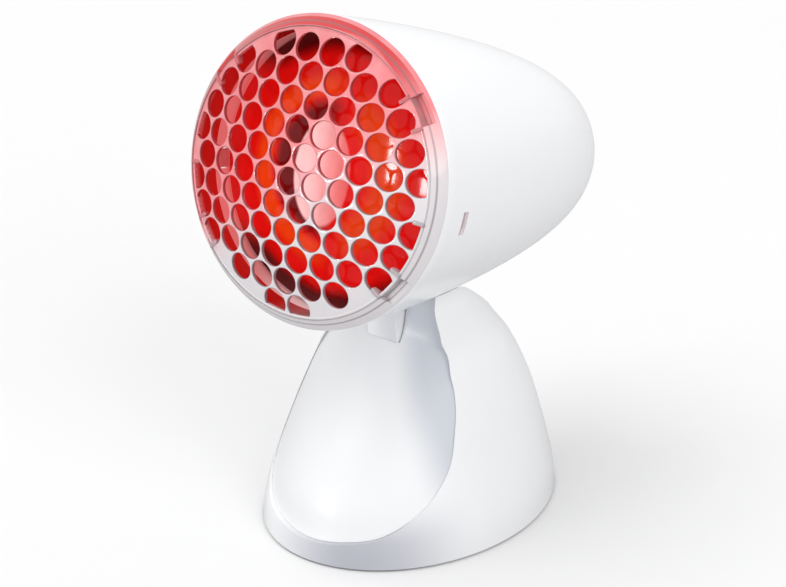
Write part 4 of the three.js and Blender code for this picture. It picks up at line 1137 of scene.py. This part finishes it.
class HEATLAMP_OT_bulb(bpy.types.Operator):
    """Turn the bulb's lens and its silvered shell"""

    bl_idname = "heat_lamp.bulb"
    bl_label = "Bulb"

    def execute(self, context):
        sizes = context.scene.heat_lamp_bulb
        rise = LENS_SHARE * (sizes.rim_behind - sizes.lens_behind)
        wide, low, soft = sizes.radius, sizes.rim_behind, sizes.rim_round
        edge = wide - sizes.rim_step

        def lens(radius, crown):
            shares = [i / LENS_STEPS for i in range(LENS_STEPS + 1)]
            return [(radius * share, crown + rise * share**LENS_POWER) for share in shares]

        outer = lens(edge, sizes.lens_behind)
        inner = lens(edge - sizes.glass, sizes.lens_behind + sizes.glass)
        rim = [(wide - soft, low - sizes.rim_height),
               (wide, low - sizes.rim_height + sizes.rim_slope), (wide, low - soft),
               (wide - soft, low), (edge - sizes.glass, low)]
        profile = [*outer, *rim, *reversed(inner)]
        front = mesh_piece("bulb_face", spun(profile, LENS_TURNS, closed=False), HEAD)
        dress(front, "bulb", finish_of("ruby_glass"), ["bulb_lens"])

        start = low + sizes.seam
        ratio = (sizes.neck_radius / wide) ** 2
        focus = sizes.neck_behind + ratio * (sizes.neck_behind - start) / (1 - ratio)

        def mirror(offset):
            points = []
            for i in range(MIRROR_STEPS + 1):
                radius = wide + (sizes.neck_radius - wide) * i / MIRROR_STEPS
                points.append((radius + offset, focus - (focus - start) * (radius / wide) ** 2))
            return points

        end, tip = sizes.cap_behind - sizes.seam, sizes.neck_tip
        profile = [*mirror(0), (tip, end), (tip - sizes.glass, end), *reversed(mirror(-sizes.glass))]
        shell = mesh_piece("bulb_envelope", spun(profile, SHELL_TURNS), HEAD)
        dress(shell, "bulb", finish_of("silvered_glass"), ["bulb_reflector"])
        return {"FINISHED"}


class HEATLAMP_OT_inner_parts(bpy.types.Operator):
    """Finish the frame's own pieces that no visual piece stands for"""

    bl_idname = "heat_lamp.inner_parts"
    bl_label = "Inner parts"

    def execute(self, context):
        for row in frame["record"]["subparts"]:
            node = frame["nodes"][row["node"]]
            if not node.hide_render:
                node.data.materials.clear()
                node.data.materials.append(finish_of(row["material_slot"]))
        return {"FINISHED"}


# Shapes of the stand: steps up and round the lofts, and stops of the head's tilt
BODY_LEVELS = 46
BODY_POINTS = 144
HOLLOW_LEVELS = 20
HOLLOW_POINTS = 96
PANEL_LEVELS = 48
PANEL_POINTS = 48
OUTLINE_STEPS = 6
LUG_STOPS = 5
SWEEP_STOPS = 9
FACE_HALF = 50 * MM
PRISM_FRONT = -10 * MM


def oval_ring(sizes, height, inset, segments, plane=None):
    """The stand's oval at a height, as points in the stand's frame."""
    level = height / sizes.height
    a = sizes.half_width * share_at(OVAL_SHARES, 1, level) - inset
    b = sizes.half_depth * share_at(OVAL_SHARES, 2, level) - inset
    middle = sizes.behind - sizes.half_depth * share_at(OVAL_SHARES, 3, level)
    up = height if plane is None else plane
    turns = [TURN * i / segments for i in range(segments)]
    return [(a * math.cos(turn), middle + b * math.sin(turn), up) for turn in turns]


def drop_prism(sizes, grow):
    """The front panel's outline, pushed back through the stand's front."""
    half = [Vector((x * sizes.half_width, z * sizes.height)) for x, z in DROP_SHARES]
    right = []
    for i in range(len(half) - 1):
        p0 = half[i - 1] if i else Vector((-half[1].x, half[1].y))
        p1, p2, p3 = half[i], half[i + 1], half[min(i + 2, len(half) - 1)]
        for step in range(OUTLINE_STEPS):
            t = step / OUTLINE_STEPS
            right.append(0.5 * (2 * p1 + (p2 - p0) * t + (2 * p0 - 5 * p1 + 4 * p2 - p3) * t**2
                                + (3 * p1 - p0 - 3 * p2 + p3) * t**3))
    right.append(half[-1])
    outline = [*right, *(Vector((-point.x, point.y)) for point in reversed(right[1:]))]
    centre = Vector((0, sizes.height / 2))
    grown = [point + (point - centre).normalized() * grow for point in outline]
    return extruded([(point.x, PRISM_FRONT, point.y) for point in grown],
                    (0, sizes.drop_reach + grow - PRISM_FRONT, 0))


def face_ring(sizes, height, back):
    """The front panel's face at a height, and the same line pushed back."""
    level = height / sizes.height
    front = sizes.behind - sizes.half_depth * share_at(FACE_SHARES, 1, level)
    bow = sizes.half_depth * share_at(FACE_SHARES, 2, level)
    a = sizes.half_width * share_at(OVAL_SHARES, 1, level)

    def line(offset):
        xs = [FACE_HALF * (2 * i / PANEL_POINTS - 1) for i in range(PANEL_POINTS + 1)]
        return [(x, front + bow * (x / a) ** 2 + offset, height) for x in xs]

    return [*line(0), *reversed(line(back))]


def tilted(turn):
    """The turn of the head about its pivot, in the stand's frame."""
    pivot = Vector((0, PIVOT.y - RIM.y, PIVOT.z))
    return Matrix.Translation(pivot) @ Matrix.Rotation(-turn, 4, "X") @ Matrix.Translation(-pivot)


def lug_room(head, stand, turn):
    """The room behind the neck lug at one angle of the tilt."""
    back, gap = PIVOT.y - RIM.y, stand.clearance
    low = PIVOT.z - head.lug_radius - gap
    top = PIVOT.z + head.lug_radius + stand.room_top
    heel = back + head.heel + gap
    room = side_plate([(back, top), (back, low), (heel, low + head.heel_rise),
                       (heel + stand.room_lean, top)], 2 * stand.slot_half)
    room.transform(tilted(turn))
    return room


def head_sweep(sizes, clearance):
    """The room that the head takes at every angle of its tilt, in the stand's frame."""
    sweep = None
    for i in range(SWEEP_STOPS):
        turn = TILT_RANGE * i / (SWEEP_STOPS - 1)
        body = bullet(sizes, clearance, SWEEP_STEPS, SWEEP_TURNS, 0)
        body.transform(tilted(turn) @ STAND.inverted() @ HEAD)
        part = mesh_piece("sweep_part", body)
        sweep = part if sweep is None else carve(sweep, part, "UNION")
    return sweep


def copy_of(piece):
    """Another object with the same mesh of its own."""
    twin = bpy.data.objects.new(piece.name + "_twin", piece.data.copy())
    bpy.context.scene.collection.objects.link(twin)
    return twin


class HEATLAMP_OT_stand(bpy.types.Operator):
    """Loft the stand's shell and its front panel, and cut the room for the head"""

    bl_idname = "heat_lamp.stand"
    bl_label = "Stand"

    def execute(self, context):
        sizes, head = context.scene.heat_lamp_stand, context.scene.heat_lamp_head
        foot, wall, front = sizes.foot_height, sizes.wall, head.tongue_front
        rise = OVAL_SHARES[-1][0] * sizes.height - foot
        heights = [foot + rise * i / BODY_LEVELS for i in range(BODY_LEVELS + 1)]
        body = mesh_piece("stand_body",
                          lofted([oval_ring(sizes, z, 0, BODY_POINTS) for z in heights]))
        rise = sizes.cavity_top - foot
        heights = [foot + rise * i / HOLLOW_LEVELS for i in range(HOLLOW_LEVELS + 1)]
        hollow = [oval_ring(sizes, foot, wall, HOLLOW_POINTS, -BEYOND),
                  *(oval_ring(sizes, z, wall, HOLLOW_POINTS) for z in heights)]
        carve(body, lofted(hollow))
        carve(body, drop_prism(sizes, sizes.seam))
        heel = PIVOT.y - RIM.y + head.heel
        carve(body, block(
            (-sizes.slot_half, front - sizes.room_front, sizes.cavity_top - sizes.room_drop),
            (sizes.slot_half, heel + BEYOND, sizes.height + sizes.room_top)))
        for i in range(LUG_STOPS):
            carve(body, lug_room(head, sizes, TILT_RANGE * i / (LUG_STOPS - 1)))
        sweep = head_sweep(head, sizes.clearance)
        carve(body, copy_of(sweep))
        wide, deep = sizes.outlet_radius, 2 * sizes.outlet_depth
        outlet = spun([(0, 0), (wide, 0), (wide, deep), (0, deep)], SMALL_TURNS, closed=False)
        far = sizes.behind + sizes.half_depth
        outlet.transform(Matrix.Translation((0, far - sizes.outlet_depth, sizes.gland_height)))
        carve(body, outlet)
        body.data.transform(STAND)
        soften(body, SOFT)
        dress(body, "stand", finish_of("stand_white"), ["stand_shell"])

        low, span = FACE_SHARES[0][0] * sizes.height, FACE_SPAN * sizes.height
        heights = [low + span * i / PANEL_LEVELS for i in range(PANEL_LEVELS + 1)]
        panel = mesh_piece("front_cover", lofted([face_ring(sizes, z, wall) for z in heights]))
        carve(panel, drop_prism(sizes, 0), "INTERSECT")
        carve(panel, sweep)
        side = head.tongue_width / 2 + sizes.notch_play
        carve(panel, block(
            (-side, front - sizes.room_front, head.tongue_foot - sizes.notch_drop),
            (side, front + sizes.notch_back, sizes.height + sizes.notch_top)))
        panel.data.transform(STAND)
        soften(panel, SOFT)
        dress(panel, "stand", finish_of("panel_white"), ["front_panel"])
        return {"FINISHED"}


class HEATLAMP_OT_feet(bpy.types.Operator):
    """Turn the rubber feet"""

    bl_idname = "heat_lamp.feet"
    bl_label = "Feet"

    def execute(self, context):
        sizes = context.scene.heat_lamp_stand
        r, soft = sizes.pad_radius, sizes.pad_round
        for name in sorted(frame["nodes"]):
            if not name.startswith("foot_"):
                continue
            low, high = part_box(name)
            tall = high.z - low.z
            profile = [(0, 0), *arc((r - soft, soft), soft, 270, 360, EDGE_STEPS), (r, tall),
                       (0, tall)]
            foot = spun(profile, SMALL_TURNS, closed=False)
            foot.transform(Matrix.Translation(((low.x + high.x) / 2, (low.y + high.y) / 2, low.z))
                           @ Matrix.Rotation(TURN / 4, 4, "X"))
            piece = mesh_piece(name + "_pad", foot)
            dress(piece, "stand", finish_of("rubber"), [name])
        return {"FINISHED"}


# The stage: the floor's white for the camera and for other rays, and the sky's strengths
FLOOR_HALF = 6
FLOOR_ROUGHNESS = 0.9
FLOOR_GRAIN = 30.0
FLOOR_WHITES = ((0.825, 0.825, 0.825), (0.835, 0.835, 0.835))
FLOOR_GREY = (0.52, 0.52, 0.53)
SKY_LIGHT = 0.8
SKY_SHOWN = 0.985

# Suns: direction, spread in degrees and strength
SUNS = {
    "key_light": ((-0.3, -0.45, 0.95), 45, 0.95),
    "side_light": ((0.75, -0.35, 0.5), 40, 0.75),
}

# Softboxes that shine at the mouth: place, width and height, and power
SOFTBOXES = {
    "front_box": ((-0.75, -2.2, 0.33), (0.11, 0.34), 5.0),
    "side_box": ((-0.33, -2.3, 0.25), (0.09, 0.24), 3.0),
}

# The camera, found from the photograph: its place from the rim, its turns in degrees and its lens
CAMERA_PLACE = mm(448.6, -605.1, 432.5)
CAMERA_TURNS = (34.275, 22.444, 2.924)
CAMERA = {"sensor_width": 36.0, "lens": 88.5, "shift_x": 0.0155, "shift_y": 0.0257,
          "clip_start": 0.05, "clip_end": 50.0}


def staged(name, data):
    """A light or camera in the scene."""
    item = bpy.data.objects.new(name, data)
    bpy.context.scene.collection.objects.link(item)
    return item


class HEATLAMP_OT_stage(bpy.types.Operator):
    """Set the floor, the soft lights and the camera"""

    bl_idname = "heat_lamp.stage"
    bl_label = "Stage"

    def execute(self, context):
        scene = context.scene
        scene.view_settings.view_transform = "Standard"
        self.floor()
        self.sky(scene)
        for name, (place, spread, strength) in SUNS.items():
            data = bpy.data.lights.new(name, "SUN")
            data.angle = math.radians(spread)
            data.energy = strength
            sun = staged(name, data)
            sun.rotation_euler = Vector(place).to_track_quat("Z", "Y").to_euler()
        for name, (place, size, power) in SOFTBOXES.items():
            data = bpy.data.lights.new(name, "AREA")
            data.shape = "RECTANGLE"
            data.size, data.size_y = size
            data.energy = power
            softbox = staged(name, data)
            softbox.location = place
            softbox.rotation_euler = (Vector(place) - RIM).to_track_quat("Z", "Y").to_euler()
        self.camera(scene)
        return {"FINISHED"}

    @staticmethod
    def floor():
        bm = bmesh.new()
        bmesh.ops.create_grid(bm, x_segments=2, y_segments=2, size=FLOOR_HALF)
        nodes = Nodes("floor_white", Roughness=FLOOR_ROUGHNESS)
        shown = nodes.mix(nodes.noise(FLOOR_GRAIN), *FLOOR_WHITES)
        path = nodes.add("LightPath").outputs["Is Camera Ray"]
        nodes.feed("Base Color", nodes.mix(path, FLOOR_GREY, shown))
        floor = mesh_piece("floor", bm)
        floor.data.materials.append(nodes.material)

    @staticmethod
    def sky(scene):
        world = bpy.data.worlds.new("studio")
        scene.world = world
        world.use_nodes = True
        tree = world.node_tree
        light = tree.nodes["Background"]
        light.inputs["Color"].default_value = (1.0, 1.0, 1.0, 1.0)
        path = tree.nodes.new("ShaderNodeLightPath")
        strength = tree.nodes.new("ShaderNodeMapRange")
        strength.inputs["To Min"].default_value = SKY_LIGHT
        strength.inputs["To Max"].default_value = SKY_SHOWN
        tree.links.new(path.outputs["Is Camera Ray"], strength.inputs["Value"])
        tree.links.new(strength.outputs["Result"], light.inputs["Strength"])

    @staticmethod
    def camera(scene):
        data = bpy.data.cameras.new("camera")
        camera = staged("camera", data)
        azimuth, pitch, roll = (math.radians(angle) for angle in CAMERA_TURNS)
        back = Vector((math.sin(azimuth) * math.cos(pitch), -math.cos(azimuth) * math.cos(pitch),
                       math.sin(pitch)))
        right = Vector((math.cos(azimuth), math.sin(azimuth), 0))
        up = right.cross(-back)
        across = math.cos(roll) * right + math.sin(roll) * up
        upright = -math.sin(roll) * right + math.cos(roll) * up
        turn = Matrix((across, upright, back)).transposed()
        place = Vector(CAMERA_PLACE) + Vector((0, RIM.y, 0))
        camera.matrix_world = Matrix.Translation(place) @ turn.to_4x4()
        for label, value in CAMERA.items():
            setattr(data, label, value)
        scene.camera = camera


class HEATLAMP_PT_pieces(bpy.types.Panel):
    """The lamp's pieces and sizes in the sidebar"""

    bl_label = "Heat lamp"
    bl_idname = "HEATLAMP_PT_pieces"
    bl_space_type = "VIEW_3D"
    bl_region_type = "UI"
    bl_category = "Heat lamp"

    def draw(self, context):
        column = self.layout.column()
        for operator in PIECES:
            column.operator(operator.bl_idname)
        for name in GROUPS:
            group = getattr(context.scene, name)
            box = self.layout.box()
            for label in group.__annotations__:
                box.prop(group, label)


PIECES = (
    HEATLAMP_OT_stage, HEATLAMP_OT_housing, HEATLAMP_OT_neck, HEATLAMP_OT_grille, HEATLAMP_OT_bulb,
    HEATLAMP_OT_stand, HEATLAMP_OT_feet, HEATLAMP_OT_inner_parts,
)
GROUPS = {
    "heat_lamp_head": HeadSizes,
    "heat_lamp_grille": GrilleSizes,
    "heat_lamp_bulb": BulbSizes,
    "heat_lamp_stand": StandSizes,
    "heat_lamp_colours": Colours,
}


def register():
    for group in (*GROUPS.values(), *PIECES, HEATLAMP_PT_pieces):
        bpy.utils.register_class(group)
    for name, group in GROUPS.items():
        setattr(bpy.types.Scene, name, PointerProperty(type=group))


def unregister():
    for name in GROUPS:
        delattr(bpy.types.Scene, name)
    for group in reversed((*GROUPS.values(), *PIECES, HEATLAMP_PT_pieces)):
        bpy.utils.unregister_class(group)


def main():
    """Makes every piece in order."""
    register()
    for operator in PIECES:
        family, name = operator.bl_idname.split(".")
        getattr(getattr(bpy.ops, family), name)()


if __name__ == "__main__":
    main()
